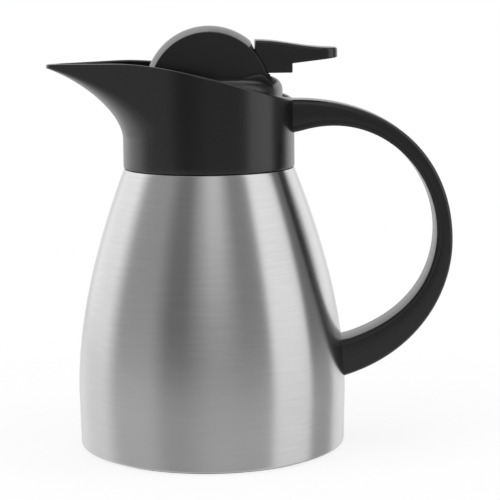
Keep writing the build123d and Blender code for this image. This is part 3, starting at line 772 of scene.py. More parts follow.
@dataclass
class PouringCollar:
    """The black collar: a round band whose front grows into a long spout under a falling rim.

    In plan the spout's flat sides leave the band at an angle of 60 degrees to its front, at which
    the radius of the spout's tip is the band's radius less the spout's reach.
    """

    radius: float = 41.3
    wall: float = 2.5
    bottom: float = 136.1
    floor_bottom: float = 144.6
    floor_top: float = 147.0
    neck_radius: float = 31.0
    edge_round: float = 0.8
    spout_start: float = 150.0
    spout_reach: float = 36.0
    spout_tip: float = 184.3
    spout_rise: float = 12.0
    lip_pull: float = 20.0
    lip_angle: float = 20.0
    spout_floor: float = 2.2
    rim_high: float = 186.9
    rim_tip_drop: float = 0.7
    rim_fall_start: float = -45.0
    rim_fall_pull: float = 30.0
    rim_low: float = 168.6
    rim_slope: float = 0.28
    rim_pull: float = 25.0
    rim_round: float = 0.8
    side_turn: float = math.pi / 3
    spout_share: float = 0.97
    bunching: float = 1.6
    settling: int = 60
    rim_segments: int = 4
    edge_segments: int = 5
    band_rows: int = 5
    spout_rows: int = 34
    rim_rows: int = 3
    back_points: int = 96
    front_points: int = 44
    dress: Dress = Dress("pouring_collar", Body.CARAFE, Slot.BLACK_PLASTIC, ("collar",), sharp_angle=34.0)

    def spout_line(self, step: float) -> Point:
        """Reach beyond the round band, and height, of the spout's underside.

        Args:
            step: Place along it, from 0 to 1.

        Returns:
            Reach and height.
        """
        angle = math.radians(self.lip_angle)
        pull = (self.spout_reach - self.lip_pull * math.cos(angle),
                self.spout_tip - self.lip_pull * math.sin(angle))
        return curve([(0.0, self.spout_start), (0.0, self.spout_start + self.spout_rise), pull,
                      (self.spout_reach, self.spout_tip)], step)

    def step_at(self, height: float) -> float:
        """Place along the underside at a height. It runs on past 1 above the tip.

        Args:
            height: Height in millimetres.

        Returns:
            The place, 0 or more.
        """
        if height <= self.spout_start:
            return 0.0
        if height >= self.spout_tip:
            return 1.0 + (height - self.spout_tip) / self.spout_reach
        return step_of(lambda step: self.spout_line(step)[1], height)

    def reach_and_height(self, step: float) -> Point:
        """Reach and height at a place that may run on past the tip."""
        if step <= 1.0:
            return self.spout_line(step)
        return self.spout_reach, self.spout_tip + (step - 1.0) * self.spout_reach

    def columns(self) -> list[tuple[Side, float]]:
        """Columns of the surface, once round, closer together towards the tip.

        Returns:
            For each, its stretch and its place there, from 0 to 1.
        """
        front = [1 - (1 - index / self.front_points) ** self.bunching
                 for index in range(self.front_points + 1)]
        back = [(Side.BACK, index / self.back_points) for index in range(self.back_points)]
        left = [(Side.LEFT, share) for share in front[:-1]]
        right = [(Side.RIGHT, share) for share in reversed(front[1:])]
        return back + left + right

    def plan(self, column: tuple[Side, float], radius: float, reach: float) -> Point:
        """Place of a column in plan.

        Args:
            column: Stretch and place, from columns.
            radius: Radius of the round band.
            reach: How far the spout runs beyond it.

        Returns:
            X and Y.
        """
        side, share = column
        if side is Side.BACK:
            turn = (math.pi - self.side_turn) * (2 * share - 1)
            return radius * math.cos(turn), radius * math.sin(turn)
        tip_radius = radius - reach
        straight = math.tan(self.side_turn) * reach
        along = share * (straight + tip_radius * self.side_turn)
        if along <= straight:
            x = -radius * math.cos(self.side_turn) - along * math.sin(self.side_turn)
            y = radius * math.sin(self.side_turn) - along * math.cos(self.side_turn)
        else:
            turn = self.side_turn - (along - straight) / tip_radius
            x = -2 * reach - tip_radius * math.cos(turn)
            y = tip_radius * math.sin(turn)
        return x, (y if side is Side.LEFT else -y)

    def rim_height(self, x: float) -> float:
        """Height of the rim above a place along X.

        Args:
            x: Place in millimetres.

        Returns:
            The height.
        """
        tip_x = -self.radius - self.spout_reach
        slope = self.rim_tip_drop / (self.rim_fall_start - tip_x)
        if x <= self.rim_fall_start:
            return self.rim_high - (self.rim_fall_start - x) * slope
        points = [(self.rim_fall_start, self.rim_high),
                  (self.rim_fall_start + self.rim_fall_pull, self.rim_high + self.rim_fall_pull * slope),
                  (self.radius - self.rim_pull, self.rim_low + self.rim_pull * self.rim_slope),
                  (self.radius, self.rim_low)]
        return curve(points, step_of(lambda step: curve(points, step)[0], x))[1]

    def column_rim(self, column: tuple[Side, float], radius: float, lift: float) -> float:
        """Height at which a column meets the rim.

        Args:
            column: Stretch and place.
            radius: Radius of the round band.
            lift: How far the surface is lifted.

        Returns:
            The height.
        """
        height = self.rim_high
        for _ in range(self.settling):
            reach = min(self.reach_and_height(self.step_at(height - lift))[0], self.spout_reach)
            height = 0.5 * height + 0.5 * self.rim_height(self.plan(column, radius, reach)[0])
        return height

    def round_ring(self, radius: float, height: float) -> list[Vector]:
        """One level round ring."""
        return [Vector((*self.plan(column, radius, 0.0), height)) for column in self.columns()]

    def wall_rings(self, radius: float, bottom: float, lift: float) -> list[list[Vector]]:
        """Rings of the outside or the inside, from its bottom up to one rounding under the rim.

        Args:
            radius: Radius of the round band.
            bottom: Height of the lowest ring.
            lift: How far the surface is lifted.

        Returns:
            The rings.
        """
        columns = self.columns()
        band = self.spout_start + lift - bottom
        rings = [self.round_ring(radius, bottom + band * row / self.band_rows)
                 for row in range(self.band_rows)]
        tops = [self.step_at(self.column_rim(column, radius, lift) - self.rim_round - lift)
                for column in columns]
        # The spout's rows end at spout_share of each column, and the rim's rows take the rest
        rows = [(row / self.spout_rows, 0.0) for row in range(self.spout_rows + 1)]
        rows += [(1.0, row / self.rim_rows) for row in range(1, self.rim_rows + 1)]
        for main, last in rows:
            ring = []
            for column, top in zip(columns, tops):
                bend = min(1.0, self.spout_share * top)
                reach, height = self.reach_and_height(bend * main + (top - bend) * last)
                ring.append(Vector((*self.plan(column, radius, reach), height + lift)))
            rings.append(ring)
        return rings

    def rim_rings(self, outer: Sequence[Vector], inner: Sequence[Vector]) -> list[list[Vector]]:
        """Rings over the rim, from the outside to the inside, with both edges rounded.

        Args:
            outer: Last ring of the outside, one rounding under the rim.
            inner: Last ring of the inside, one rounding under the rim.

        Returns:
            The rings.
        """
        rings = []
        rising = quarter_turn(self.rim_segments)[1:]
        for near_ring, far_ring, turns in ((outer, inner, rising), (inner, outer, reversed(rising))):
            for turn in turns:
                into = self.rim_round * (1 - math.cos(turn))
                up = Vector((0, 0, self.rim_round * math.sin(turn)))
                rings.append([near + Vector((far.x - near.x, far.y - near.y, 0)).normalized() * into + up
                              for near, far in zip(near_ring, far_ring)])
        return rings

    def build(self) -> None:
        """Make the collar."""
        bore = self.radius - self.wall
        outside = self.wall_rings(self.radius, self.bottom + self.edge_round, 0.0)
        inside = self.wall_rings(bore, self.floor_top, self.spout_floor)
        rim = self.rim_rings(outside[-1], inside[-1])
        floor = [self.round_ring(self.neck_radius, self.floor_top),
                 self.round_ring(self.neck_radius, self.floor_bottom),
                 self.round_ring(bore, self.floor_bottom), self.round_ring(bore, self.bottom)]
        foot = [self.round_ring(self.radius - self.edge_round * (1 - math.sin(turn)),
                                self.bottom + self.edge_round * (1 - math.cos(turn)))
                for turn in quarter_turn(self.edge_segments)]
        self.dress.put_on(swept(outside + rim + list(reversed(inside)) + floor + foot, capped=False))


@dataclass
class Handle:
    """The loop handle: an outer bow and the strip that closes it on the finger side."""

    half_width: float = 9.5
    edge_round: float = 1.2
    crest_round: float = 2.4
    reach: float = 117.4
    outer_mid: float = 99.5
    inner_mid: float = 104.0
    thickness: float = 7.9
    top: float = 168.4
    root_depth: float = 15.9
    root_rise: float = 19.0
    root_x: float = 41.3
    foot_x: float = 64.5
    foot_bottom: float = 33.3
    foot_top: float = 51.5
    foot_lean: float = 16.5
    strip_thickness: float = 2.9
    seam: float = 0.02
    seam_round: float = 0.18
    outer_pulls: Quad = (49.6, 38.0, 25.9, 37.7)
    inner_pulls: Quad = (40.8, 30.9, 13.5, 41.2)
    root_sink: float = 0.8
    foot_sink: float = 0.1
    upper_steps: int = 36
    lower_steps: int = 44
    corner_segments: int = 4
    bow_dress: Dress = Dress(
        "handle_bow", Body.CARAFE, Slot.BLACK_PLASTIC, ("handle_shell",), sharp_angle=34.0)
    strip_dress: Dress = Dress(
        "handle_strip", Body.CARAFE, Slot.BLACK_PLASTIC, ("handle_cover",), sharp_angle=34.0)

    def loop(self, reach: float, middle: float, top: float, top_lean: float, bottom: float,
             pulls: Sequence[float]) -> list[Point]:
        """Points of one loop in side view, from the collar round to the body.

        Args:
            reach: How far out it runs.
            middle: Height of its furthest point.
            top: Height at the collar.
            top_lean: Angle at the collar above level.
            bottom: Height at the body.
            pulls: Lengths of the curve's four pulls.

        Returns:
            The points.
        """
        lean = math.radians(top_lean)
        foot_lean = math.radians(self.foot_lean)
        upper = [(self.root_x, top),
                 (self.root_x + pulls[0] * math.cos(lean), top + pulls[0] * math.sin(lean)),
                 (reach, middle + pulls[1]), (reach, middle)]
        lower = [(reach, middle), (reach, middle - pulls[2]),
                 (self.foot_x + pulls[3] * math.cos(foot_lean), bottom + pulls[3] * math.sin(foot_lean)),
                 (self.foot_x, bottom)]
        return curve_line(upper, self.upper_steps)[:-1] + curve_line(lower, self.lower_steps)

    def outer(self) -> list[Point]:
        """The outer loop."""
        return self.loop(self.reach, self.outer_mid, self.top, 0.0, self.foot_bottom, self.outer_pulls)

    def inner(self, outset: float) -> list[Point]:
        """The inner loop, pushed out by an outset."""
        return self.loop(self.reach - self.thickness + outset, self.inner_mid,
                         self.top - self.root_depth + outset, self.root_rise,
                         self.foot_top - outset, self.inner_pulls)

    def seat_ends(self, rings: list[list[Vector]], flask: FlaskWall) -> None:
        """Sink the first ring into the collar's wall and the last one into the steel.

        Args:
            rings: The rings, changed in place.
            flask: The steel wall.
        """
        for point in rings[0]:
            point.x = math.sqrt((self.root_x - self.root_sink) ** 2 - point.y ** 2)
        for point in rings[-1]:
            point.x = math.sqrt((flask.radius_at(point.z) - self.foot_sink) ** 2 - point.y ** 2)

    def build(self, flask: FlaskWall) -> None:
        """Make the bow and the strip.

        Args:
            flask: The steel wall that they end on.
        """
        strip = self.strip_thickness
        pieces = (
            (self.bow_dress, self.inner(strip + self.seam), self.outer(), self.seam_round, self.crest_round),
            (self.strip_dress, self.inner(0.0), self.inner(strip), self.edge_round, self.seam_round),
        )
        for dress, near, far, near_round, far_round in pieces:
            rings = [box_ring(Vector((low[0], 0, low[1])), Vector((high[0], 0, high[1])), self.half_width,
                              near_round, far_round, self.corner_segments) for low, high in zip(near, far)]
            self.seat_ends(rings, flask)
            dress.put_on(swept(rings, capped=True))


@dataclass
class LidCap:
    """The low round cap over the stopper, with a pouring mouth and two low humps beside the grip."""

    radius: float = 35.8
    top: float = 179.3
    edge_round: float = 6.5
    wall: float = 2.2
    bottom: float = 165.0
    hole_radius: float = 2.3
    guide_radius: float = 5.0
    guide_bottom: float = 172.1
    mouth_half_width: float = 19.0
    mouth_top: float = 173.0
    hump_start: float = 13.0
    hump_peak: float = 25.5
    hump_end: float = 31.5
    hump_height: float = 1.9
    hump_near: float = 14.1
    hump_width: float = 4.6
    hump_round: float = 1.2
    hump_share: float = 0.6
    hump_sink: float = 0.6
    hump_clearance: float = 0.05
    edge_stop: float = 0.01
    lip_round: float = 0.4
    guide_round: float = 0.5
    hole_round: float = 0.3
    overcut: float = 5.0
    hump_steps: int = 28
    hump_segments: int = 6
    round_segments: int = 9
    turn_steps: int = 192
    dress: Dress = Dress("lid_cap", Body.STOPPER, Slot.BLACK_PLASTIC, ("lid_cover",), sharp_angle=30.0)

    def ceiling(self, away: float, rise: float) -> float:
        """Height of the cap's rounded outline at a distance from the axis.

        Args:
            away: Distance from the axis.
            rise: How far the outline is lifted.

        Returns:
            The height.
        """
        into = min(max(0.0, away - (self.radius - self.edge_round)), self.edge_round - self.edge_stop)
        return self.top + rise - self.edge_round + math.sqrt(self.edge_round ** 2 - into ** 2)

    def crest(self, step: float) -> Point:
        """Place and height along the top of a hump.

        Args:
            step: Place along it, from 0 to 1.

        Returns:
            X and Z.
        """
        high = self.top + self.hump_height
        if step < self.hump_share:
            middle = (self.hump_start + self.hump_peak) / 2
            return curve([(self.hump_start, self.top), (middle, self.top), (middle, high),
                          (self.hump_peak, high)], step / self.hump_share)
        middle = (self.hump_peak + self.hump_end) / 2
        return curve([(self.hump_peak, high), (middle, high), (self.hump_end, self.top),
                      (self.hump_end, self.top - self.wall)],
                     (step - self.hump_share) / (1 - self.hump_share))

    def hump(self, side: int) -> bmesh.types.BMesh:
        """One low hump beside the grip, sunk into the cap.

        Args:
            side: 1 for the side at positive Y, -1 for the other.

        Returns:
            The mesh in millimetres.
        """
        far = self.hump_near + self.hump_width
        limit = math.sqrt((self.radius - self.hump_clearance) ** 2 - far ** 2)
        rings = []
        for index in range(self.hump_steps + 1):
            x, height = self.crest(index / self.hump_steps)
            x = min(x, limit)
            foot = [(across, self.ceiling(math.hypot(x, across), -self.hump_sink))
                    for across in (far, self.hump_near)]
            over = [(self.hump_near, height)]
            over += [(far - self.hump_round * (1 - math.sin(turn)),
                      height - self.hump_round * (1 - math.cos(turn)))
                     for turn in quarter_turn(self.hump_segments)]
            line = foot + [(across, min(up, self.ceiling(math.hypot(x, across), self.hump_height)))
                           for across, up in over]
            rings.append([Vector((x, side * across, up)) for across, up in line])
        return swept(rings, capped=True)

    def build(self) -> None:
        """Make the cap."""
        under = self.top - self.wall
        bore = self.radius - self.wall
        section = rounded([(self.hole_radius, self.top, 0), (self.radius, self.top, self.edge_round),
                           (self.radius, self.bottom, self.lip_round), (bore, self.bottom, self.lip_round),
                           (bore, under, self.edge_round - self.wall),
                           (self.guide_radius, under, self.guide_round),
                           (self.guide_radius, self.guide_bottom, self.hole_round),
                           (self.hole_radius, self.guide_bottom, 0)], self.round_segments)
        mouth = oblong(-2 * self.radius, -self.radius / 2, self.bottom - self.overcut, self.mouth_top)
        mesh = cut_away(turned(section, self.turn_steps), slab(mouth, self.mouth_half_width))
        for side in (1, -1):
            join_in(mesh, self.hump(side))
        self.dress.put_on(mesh)


@dataclass
class TwistGrip:
    """The half-disc grip: two flat cheeks under a crowned band, notched for the lever."""

    radius: float = 31.0
    centre_x: float = 0.5
    centre_height: float = 172.7
    half_width: float = 14.0
    crown: float = 2.7
    edge_round: float = 0.5
    wall: float = 2.2
    base: float = 179.3
    overcut: float = 1.0
    notch_x: float = 22.2
    notch_slant: float = 2.0
    notch_height: float = 196.8
    notch_low: float = 192.4
    band_steps: int = 22
    turn_steps: int = 224
    dress: Dress = Dress("twist_grip", Body.STOPPER, Slot.BLACK_PLASTIC, ("grip_dome",), sharp_angle=30.0)

    def disc(self, inset: float) -> bmesh.types.BMesh:
        """Closed part of a disc above the cap, drawn in by an inset.

        Args:
            inset: How far it is drawn in.

        Returns:
            The mesh in millimetres.
        """
        radius = self.radius - inset
        half = self.half_width - inset
        bow = (half ** 2 + self.crown ** 2) / (2 * self.crown)
        lean = math.asin(half / bow)
        band = []
        for index in range(self.band_steps + 1):
            turn = lean * (2 * index / self.band_steps - 1)
            edge = self.edge_round if index in (0, self.band_steps) else 0.0
            band.append((radius - bow * (1 - math.cos(turn)), bow * math.sin(turn), edge))
        line = rounded([(0.0, -half, 0), *band, (0.0, half, 0)])
        centre = (self.centre_x, 0.0, self.centre_height)
        mesh = spun([(self.centre_x + far, across, self.centre_height) for far, across in line],
                    self.turn_steps, closed=False, centre=centre, axis=(0.0, 1.0, 0.0))
        low = self.base - (self.overcut if inset else 0.0)
        geometry = list(mesh.verts) + list(mesh.edges) + list(mesh.faces)
        bmesh.ops.bisect_plane(mesh, geom=geometry, plane_co=(0, 0, low), plane_no=(0, 0, 1),
                               clear_inner=True, dist=CUT_SLACK)
        rim = [edge for edge in mesh.edges if edge.is_boundary]
        bmesh.ops.holes_fill(mesh, edges=rim, sides=0)
        return mesh

    def build(self) -> None:
        """Make the grip."""
        low = self.base - self.overcut
        high = self.centre_height + 2 * self.radius
        far = self.centre_x + 2 * self.radius
        slanted = self.notch_x - self.notch_slant
        notch = slab([(self.notch_x, low), (self.notch_x, self.notch_low), (slanted, self.notch_height),
                      (slanted, high), (far, high), (far, low)], self.half_width - self.wall)
        self.dress.put_on(cut_away(cut_away(self.disc(0.0), self.disc(self.wall)), notch))


@dataclass
class ThumbPaddle:
    """The thumb lever: a saddle-backed paddle on a deep block, with an arm inside the grip."""

    front_x: float = 22.6
    front_height: float = 196.8
    front_pull: float = 0.36
    front_dip: float = 0.1
    end: Point = (62.0, 192.9)
    end_pull: float = 0.42
    end_dip: float = 0.15
    end_thickness: float = 4.7
    end_round: float = 8.0
    neck: Point = (40.2, 185.7)
    block_bottom: float = 181.3
    half_width: float = 11.2
    edge_round: float = 1.2
    low_round: float = 0.5
    side_share: float = 0.3
    pivot: Point = (23.5, 185.2)
    boss_radius: float = 2.8
    boss_half_width: float = 10.6
    arm_root: float = 23.0
    arm_half_width: float = 5.0
    arm_relief: float = 0.3
    nose_radius: float = 1.6
    nose_flat: float = 0.6
    nose_height: float = 185.9
    fork: Point = (-9.0, 4.0)
    fork_half_width: float = 2.6
    fork_overcut: Point = (2.0, 4.0)
    top_steps: int = 40
    block_rows: int = 12
    back_rows: int = 9
    end_rows: int = 10
    edge_segments: int = 6
    corner_segments: int = 5
    boss_steps: int = 36
    dress: Dress = Dress("thumb_paddle", Body.LEVER, Slot.BLACK_PLASTIC, ("thumb_lever",), sharp_angle=34.0)

    def top_at(self, x: float) -> float:
        """Height of the saddle-backed top.

        Args:
            x: Place along the lever.

        Returns:
            The height.
        """
        run = self.end[0] - self.front_x
        points = [(self.front_x, self.front_height),
                  (self.front_x + self.front_pull * run, self.front_height - self.front_dip),
                  (self.end[0] - self.end_pull * run, self.end[1] - self.end_dip), self.end]
        return read_off(curve_line(points, self.top_steps), x)

    def under_at(self, x: float) -> float:
        """Height of the paddle's underside behind the block."""
        return read_off([self.neck, (self.end[0], self.end[1] - self.end_thickness)], x)

    def section(self, x: float, under: float, drop: float, lift: float) -> list[Vector]:
        """Closed ring across the lever.

        Args:
            x: Place along the lever.
            under: Height of the underside.
            drop: How far the top and the sides are drawn in.
            lift: How far the underside is drawn up.

        Returns:
            The ring.
        """
        into = max(0.0, x - (self.end[0] - self.end_round))
        narrowing = self.end_round - math.sqrt(max(0.0, self.end_round ** 2 - into ** 2))
        return box_ring(Vector((x, 0, under + lift)), Vector((x, 0, self.top_at(x) - drop)),
                        self.half_width - narrowing - self.side_share * drop,
                        self.low_round, self.edge_round, self.corner_segments)

    def stations(self) -> list[Quad]:
        """Places of the sections, from the front to the rounded end.

        Returns:
            Place, underside, drop and lift of each.
        """
        quarter = quarter_turn(self.edge_segments)
        start = self.front_x + self.low_round
        run = self.neck[0] - self.low_round - start
        block = [(start - self.low_round * math.cos(turn), self.low_round * (1 - math.sin(turn)),
                  self.low_round * (1 - math.sin(turn))) for turn in quarter]
        block += [(start + run * row / self.block_rows, 0.0, 0.0) for row in range(1, self.block_rows)]
        block += [(start + run + self.low_round * math.sin(turn), 0.0, self.low_round * (1 - math.cos(turn)))
                  for turn in quarter]
        straight = self.end[0] - self.end_round
        bulge = self.end_round - self.edge_round
        back = [(self.neck[0] + (straight - self.neck[0]) * row / self.back_rows, 0.0, 0.0)
                for row in range(self.back_rows)]
        back += [(straight + bulge * math.sin(turn), 0.0, 0.0) for turn in quarter_turn(self.end_rows)[:-1]]
        back += [(straight + bulge + self.edge_round * math.sin(turn), self.edge_round * (1 - math.cos(turn)),
                  self.low_round * (1 - math.cos(turn))) for turn in quarter]
        rows = [(x, self.block_bottom, drop, lift) for x, drop, lift in block]
        return rows + [(x, self.under_at(x), drop, lift) for x, drop, lift in back]

    def arm(self) -> bmesh.types.BMesh:
        """The inner arm with its forked nose.

        Returns:
            The mesh in millimetres.
        """
        low = self.nose_height - self.nose_radius
        high = self.nose_height + self.nose_radius - self.arm_relief
        arm = slab([(-self.nose_radius, self.nose_height), (-self.nose_flat, low), (self.arm_root, low),
                    (self.arm_root, high), (self.nose_radius, high),
                    (-self.nose_flat, self.nose_height + self.nose_radius)], self.arm_half_width)
        fork = oblong(*self.fork, low - self.fork_overcut[0], high + self.fork_overcut[1])
        return cut_away(arm, slab(fork, self.fork_half_width))

    def build(self) -> None:
        """Make the lever."""
        mesh = swept([self.section(*row) for row in self.stations()], capped=True)
        turns = [2 * math.pi * index / self.boss_steps for index in range(self.boss_steps)]
        boss = [(self.pivot[0] + self.boss_radius * math.cos(turn),
                 self.pivot[1] + self.boss_radius * math.sin(turn)) for turn in turns]
        join_in(mesh, slab(boss, self.boss_half_width))
        join_in(mesh, self.arm())
        self.dress.put_on(mesh)


@dataclass
class ValveSpring:
    """The coil spring that holds the valve shut."""

    radius: float = 4.1
    wire: float = 0.8
    turns: int = 8
    low: float = 143.55
    high: float = 171.55
    fixed_end: float = 172.1
    free_end: float = 143.15
    lift: float = 5.2
    turn_steps: int = 24
    sides: int = 10
    dress: Dress = Dress(
        "coil_spring", Body.STOPPER, Slot.FASTENER_STEEL, ("valve_spring",), sharp_angle=40.0)

    def build(self) -> None:
        """Make the spring."""
        pitch = (self.high - self.low) / self.turns
        sides = [2 * math.pi * side / self.sides for side in range(self.sides)]
        rings = []
        for index in range(self.turns * self.turn_steps + 1):
            turn = 2 * math.pi * index / self.turn_steps
            out = Vector((math.cos(turn), math.sin(turn), 0.0))
            along = Vector((-out.y, out.x, pitch / (2 * math.pi * self.radius))).normalized()
            rise = along.cross(out)
            centre = out * self.radius + Vector((0.0, 0.0, self.low + pitch * index / self.turn_steps))
            rings.append([centre + self.wire / 2 * (out * math.cos(side) + rise * math.sin(side))
                          for side in sides])
        made = self.dress.put_on(swept(rings, capped=True))
        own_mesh(made)


@dataclass
class Underside:
    """What shows from below: the rubber pad inside the steel hem."""

    pad_radius: float = 61.3
    pad_top: float = 1.6
    edge_round: float = 0.4
    groove_depth: float = 0.35
    groove_width: float = 1.2
    groove_slant: float = 0.2
    groove_round: float = 0.1
    groove_radii: Triple = (56.0, 50.0, 20.0)
    segments: int = 3
    turn_steps: int = 160
    dress: Dress = Dress("rubber_foot", Body.CARAFE, Slot.RUBBER_PAD, ("base_pad",), sharp_angle=30.0)

    def build(self) -> None:
        """Make the pad, with shallow moulded rings."""
        half = self.groove_width / 2
        corners = [(0.0, self.pad_top, 0.0), (self.pad_radius, self.pad_top, 0.0),
                   (self.pad_radius, 0.0, self.edge_round)]
        for radius in self.groove_radii:
            corners += [(radius + half, 0.0, self.groove_round),
                        (radius + half - self.groove_slant, self.groove_depth, self.groove_round),
                        (radius - half + self.groove_slant, self.groove_depth, self.groove_round),
                        (radius - half, 0.0, self.groove_round)]
        corners.append((0.0, 0.0, 0.0))
        self.dress.put_on(turned(rounded(corners, self.segments), self.turn_steps, closed=False))


def grey(level: float) -> Quad:
    """A grey colour that is written as one level."""
    return (level, level, level, 1.0)


@dataclass(frozen=True)
class Panel:
    """One upright stretch of the room, by its bearing from the camera's side towards positive X."""

    start: float
    end: float
    low: float
    high: float
    soft: float = 3.0


@dataclass(frozen=True)
class Softbox:
    """One soft rectangular lamp, in metres and watts."""

    name: str
    place: Triple
    aim: Triple
    size: Point
    power: float

    def hang(self) -> None:
        """Add the lamp. Mirror rays see the room's panels in its place."""
        data = bpy.data.lights.new(self.name, "AREA")
        data.shape = "RECTANGLE"
        data.size, data.size_y = self.size
        data.energy = self.power
        lamp = bpy.data.objects.new(self.name, data)
        lamp.location = self.place
        lamp.rotation_euler = (Vector(self.aim) - Vector(self.place)).to_track_quat("-Z", "Y").to_euler()
        lamp.visible_glossy = False
        bpy.context.scene.collection.objects.link(lamp)


@dataclass
class Studio:
    """Floor, world, lamps and the camera at the photograph's angle.

    Distances are in metres, angles in radians and bearings in degrees. A span gives the two values
    between which one look fades into the next.
    """

    stand: Triple = (0.0, -0.850, 0.2232)
    pitch: float = 0.14972
    yaw: float = 0.0227
    roll: float = -0.01091
    focal_pixels: float = 1764.4
    frame_pixels: float = 500.0
    sensor: float = 36.0
    clip_start: float = 0.01
    floor_size: float = 1.4
    floor_color: float = 0.85
    floor_whiteness: float = 0.85
    floor_white_span: Point = (0.08, 0.32)
    floor_glow: float = 0.6
    floor_glow_span: Point = (0.12, 0.42)
    floor_clearness: float = 0.5
    panels: tuple[Panel, ...] = (
        Panel(-180, -103, 1.4, 1.75), Panel(-93, -52, 0.56, 0.52, 4.0), Panel(-42, -22, 0.22, 0.28),
        Panel(-3, 14, 0.40, 1.05), Panel(26, 53, 0.38, 0.38), Panel(56, 93, 1.45, 1.6, 1.0),
        Panel(95, 122, 0.26, 0.20, 1.0), Panel(128, 180, 1.4, 1.4),
    )
    panel_span: Point = (0.05, 0.55)
    overhead: float = 0.75
    overhead_span: Point = (0.72, 0.92)
    behind_span: Point = (0.80, 0.92)
    near_light: Quad = (0.30, 0.30, 0.305, 1.0)
    far_light: Quad = (0.62, 0.62, 0.62, 1.0)
    lamps: tuple[Softbox, ...] = (
        Softbox("left_softbox", (-1.15, -0.55, 0.75), (0.0, 0.0, 0.12), (0.8, 1.1), 9.62),
        Softbox("right_strip", (1.2, -0.25, 0.45), (0.0, 0.0, 0.10), (0.35, 1.0), 5.18),
        Softbox("top_softbox", (0.1, -0.1, 1.3), (0.0, 0.0, 0.1), (1.0, 1.0), 8.14),
    )

    def place_camera(self) -> None:
        """Put the camera where the photograph was taken from."""
        level = math.cos(self.pitch)
        forward = Vector((math.sin(self.yaw) * level, math.cos(self.yaw) * level, -math.sin(self.pitch)))
        right = Vector((math.cos(self.yaw), -math.sin(self.yaw), 0.0))
        up = right.cross(forward)
        side = right * math.cos(self.roll) + up * math.sin(self.roll)
        rise = up * math.cos(self.roll) - right * math.sin(self.roll)
        data = bpy.data.cameras.new("photo_camera")
        data.sensor_width = self.sensor
        data.lens = self.focal_pixels / self.frame_pixels * self.sensor
        data.clip_start = self.clip_start
        camera = bpy.data.objects.new("photo_camera", data)
        turn = Matrix((side, rise, -forward)).transposed().to_4x4()
        camera.matrix_world = Matrix.Translation(self.stand) @ turn
        bpy.context.scene.collection.objects.link(camera)
        bpy.context.scene.camera = camera

    def floor_material(self) -> bpy.types.Material:
        """Make the floor's material, which grows whiter away from the object.

        Mirror rays see a glow close to the object, and they see half through the floor.

        Returns:
            The material.
        """
        material = bpy.data.materials.new("white_floor")
        material.use_nodes = True
        graph = Graph(material.node_tree)
        place = graph.value("ShaderNodeTexCoord", output="Object")
        away = graph.value("ShaderNodeVectorMath", {"operation": "LENGTH"}, {0: place}, "Value")
        whiteness = graph.smooth(away, self.floor_white_span, (self.floor_whiteness, 1.0))
        near = graph.smooth(away, self.floor_glow_span, (1.0, 0.0))
        path = graph.node("ShaderNodeLightPath")
        glossy = Value(graph, path.outputs["Is Glossy Ray"])
        shown = Value(graph, path.outputs["Is Camera Ray"]) * whiteness + glossy * near * self.floor_glow
        matte = graph.node("ShaderNodeBsdfDiffuse", None, {"Color": grey(self.floor_color)})
        glow = graph.node("ShaderNodeEmission", None, {"Color": grey(1.0), "Strength": 1.0})
        mixed = graph.node("ShaderNodeMixShader", None,
                           {"Fac": shown, 1: matte.outputs[0], 2: glow.outputs[0]})
        clear = graph.node("ShaderNodeBsdfTransparent")
        thinned = graph.node("ShaderNodeMixShader", None,
                             {"Fac": glossy * self.floor_clearness, 1: mixed.outputs[0], 2: clear.outputs[0]})
        graph.node("ShaderNodeOutputMaterial", None, {"Surface": thinned.outputs[0]})
        return material

    def lay_floor(self) -> None:
        """Lay the white floor, which keeps the object's shadow and fades into the white background."""
        mesh = bmesh.new()
        bmesh.ops.create_grid(mesh, x_segments=2, y_segments=2, size=self.floor_size / 2)
        data = bpy.data.meshes.new("floor")
        mesh.to_mesh(data)
        mesh.free()
        floor = bpy.data.objects.new("floor", data)
        bpy.context.scene.collection.objects.link(floor)
        data.materials.append(self.floor_material())

    def panel_ramp(self, graph: Graph, bearing: Value, high: bool) -> bpy.types.NodeSocket:
        """Brightness of the room round the object, as mirror rays see it.

        Args:
            graph: The world's graph.
            bearing: Bearing from 0 to 1, with the camera's side at a half.
            high: Whether the upper part of the room is meant.

        Returns:
            The colour socket.
        """
        stops = [(edge / 360 + 0.5, grey(panel.high if high else panel.low)) for panel in self.panels
                 for edge in (panel.start + panel.soft, panel.end - panel.soft)]
        return graph.node("ShaderNodeValToRGB", {"stops": stops}, {"Fac": bearing}).outputs["Color"]

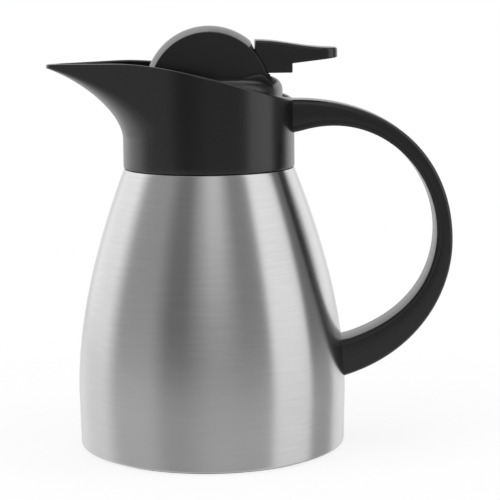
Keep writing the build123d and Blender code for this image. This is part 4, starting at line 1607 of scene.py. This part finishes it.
    def fill_world(self) -> None:
        """Light the world: a white background, and a soft room that mirror rays see."""
        world = bpy.data.worlds.new("studio")
        world.use_nodes = True
        bpy.context.scene.world = world
        graph = Graph(world.node_tree)
        way = graph.value("ShaderNodeTexCoord", output="Generated")
        parts = graph.node("ShaderNodeSeparateXYZ", None, {0: way})
        across, deep, rise = (Value(graph, parts.outputs[name]) for name in "XYZ")
        bearing = across.math("ARCTAN2", deep * -1.0) / (2 * math.pi) + 0.5
        walls = graph.mix(graph.smooth(rise, self.panel_span), self.panel_ramp(graph, bearing, False),
                          self.panel_ramp(graph, bearing, True))
        room = graph.mix(graph.smooth(rise, self.overhead_span), walls, grey(self.overhead))
        soft = graph.node("ShaderNodeValToRGB", {"stops": [(0.0, self.near_light), (1.0, self.far_light)]},
                          {"Fac": deep * 0.5 + 0.5})
        path = graph.node("ShaderNodeLightPath")
        camera, glossy, clear = (Value(graph, path.outputs[f"Is {name} Ray"])
                                 for name in ("Camera", "Glossy", "Transmission"))
        lit = graph.mix(glossy, soft.outputs["Color"], room)
        behind = graph.smooth(deep, self.behind_span)
        white = (camera + clear + glossy * behind).math("MINIMUM", 1.0)
        light = graph.node("ShaderNodeBackground", None,
                           {"Color": graph.mix(white, lit, grey(1.0)), "Strength": 1.0})
        graph.node("ShaderNodeOutputWorld", None, {"Surface": light.outputs[0]})

    def build(self) -> None:
        """Set up the whole studio."""
        bpy.context.scene.view_settings.view_transform = "Standard"
        self.place_camera()
        self.lay_floor()
        self.fill_world()
        for lamp in self.lamps:
            lamp.hang()


def dress_cad() -> None:
    """Give every CAD node the material of its slot."""
    slots = {part["node"]: Slot(part["material_slot"]) for part in frame["record"]["subparts"]}
    for name, made in frame["nodes"].items():
        made.data.materials.clear()
        made.data.materials.append(bpy.data.materials[FINISHES[slots[name]].name])
    LOG.info("%d CAD nodes dressed", len(slots))


def main() -> None:
    """Build every piece in order."""
    logging.basicConfig(level=logging.INFO, format="%(name)s: %(message)s")
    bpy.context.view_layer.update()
    for finish in FINISHES.values():
        finish.make()
    dress_cad()
    flask = FlaskWall()
    flask.build()
    PouringCollar().build()
    Handle().build(flask)
    LidCap().build()
    TwistGrip().build()
    ThumbPaddle().build()
    ValveSpring().build()
    Underside().build()
    Studio().build()
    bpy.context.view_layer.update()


if __name__ == "__main__":
    main()
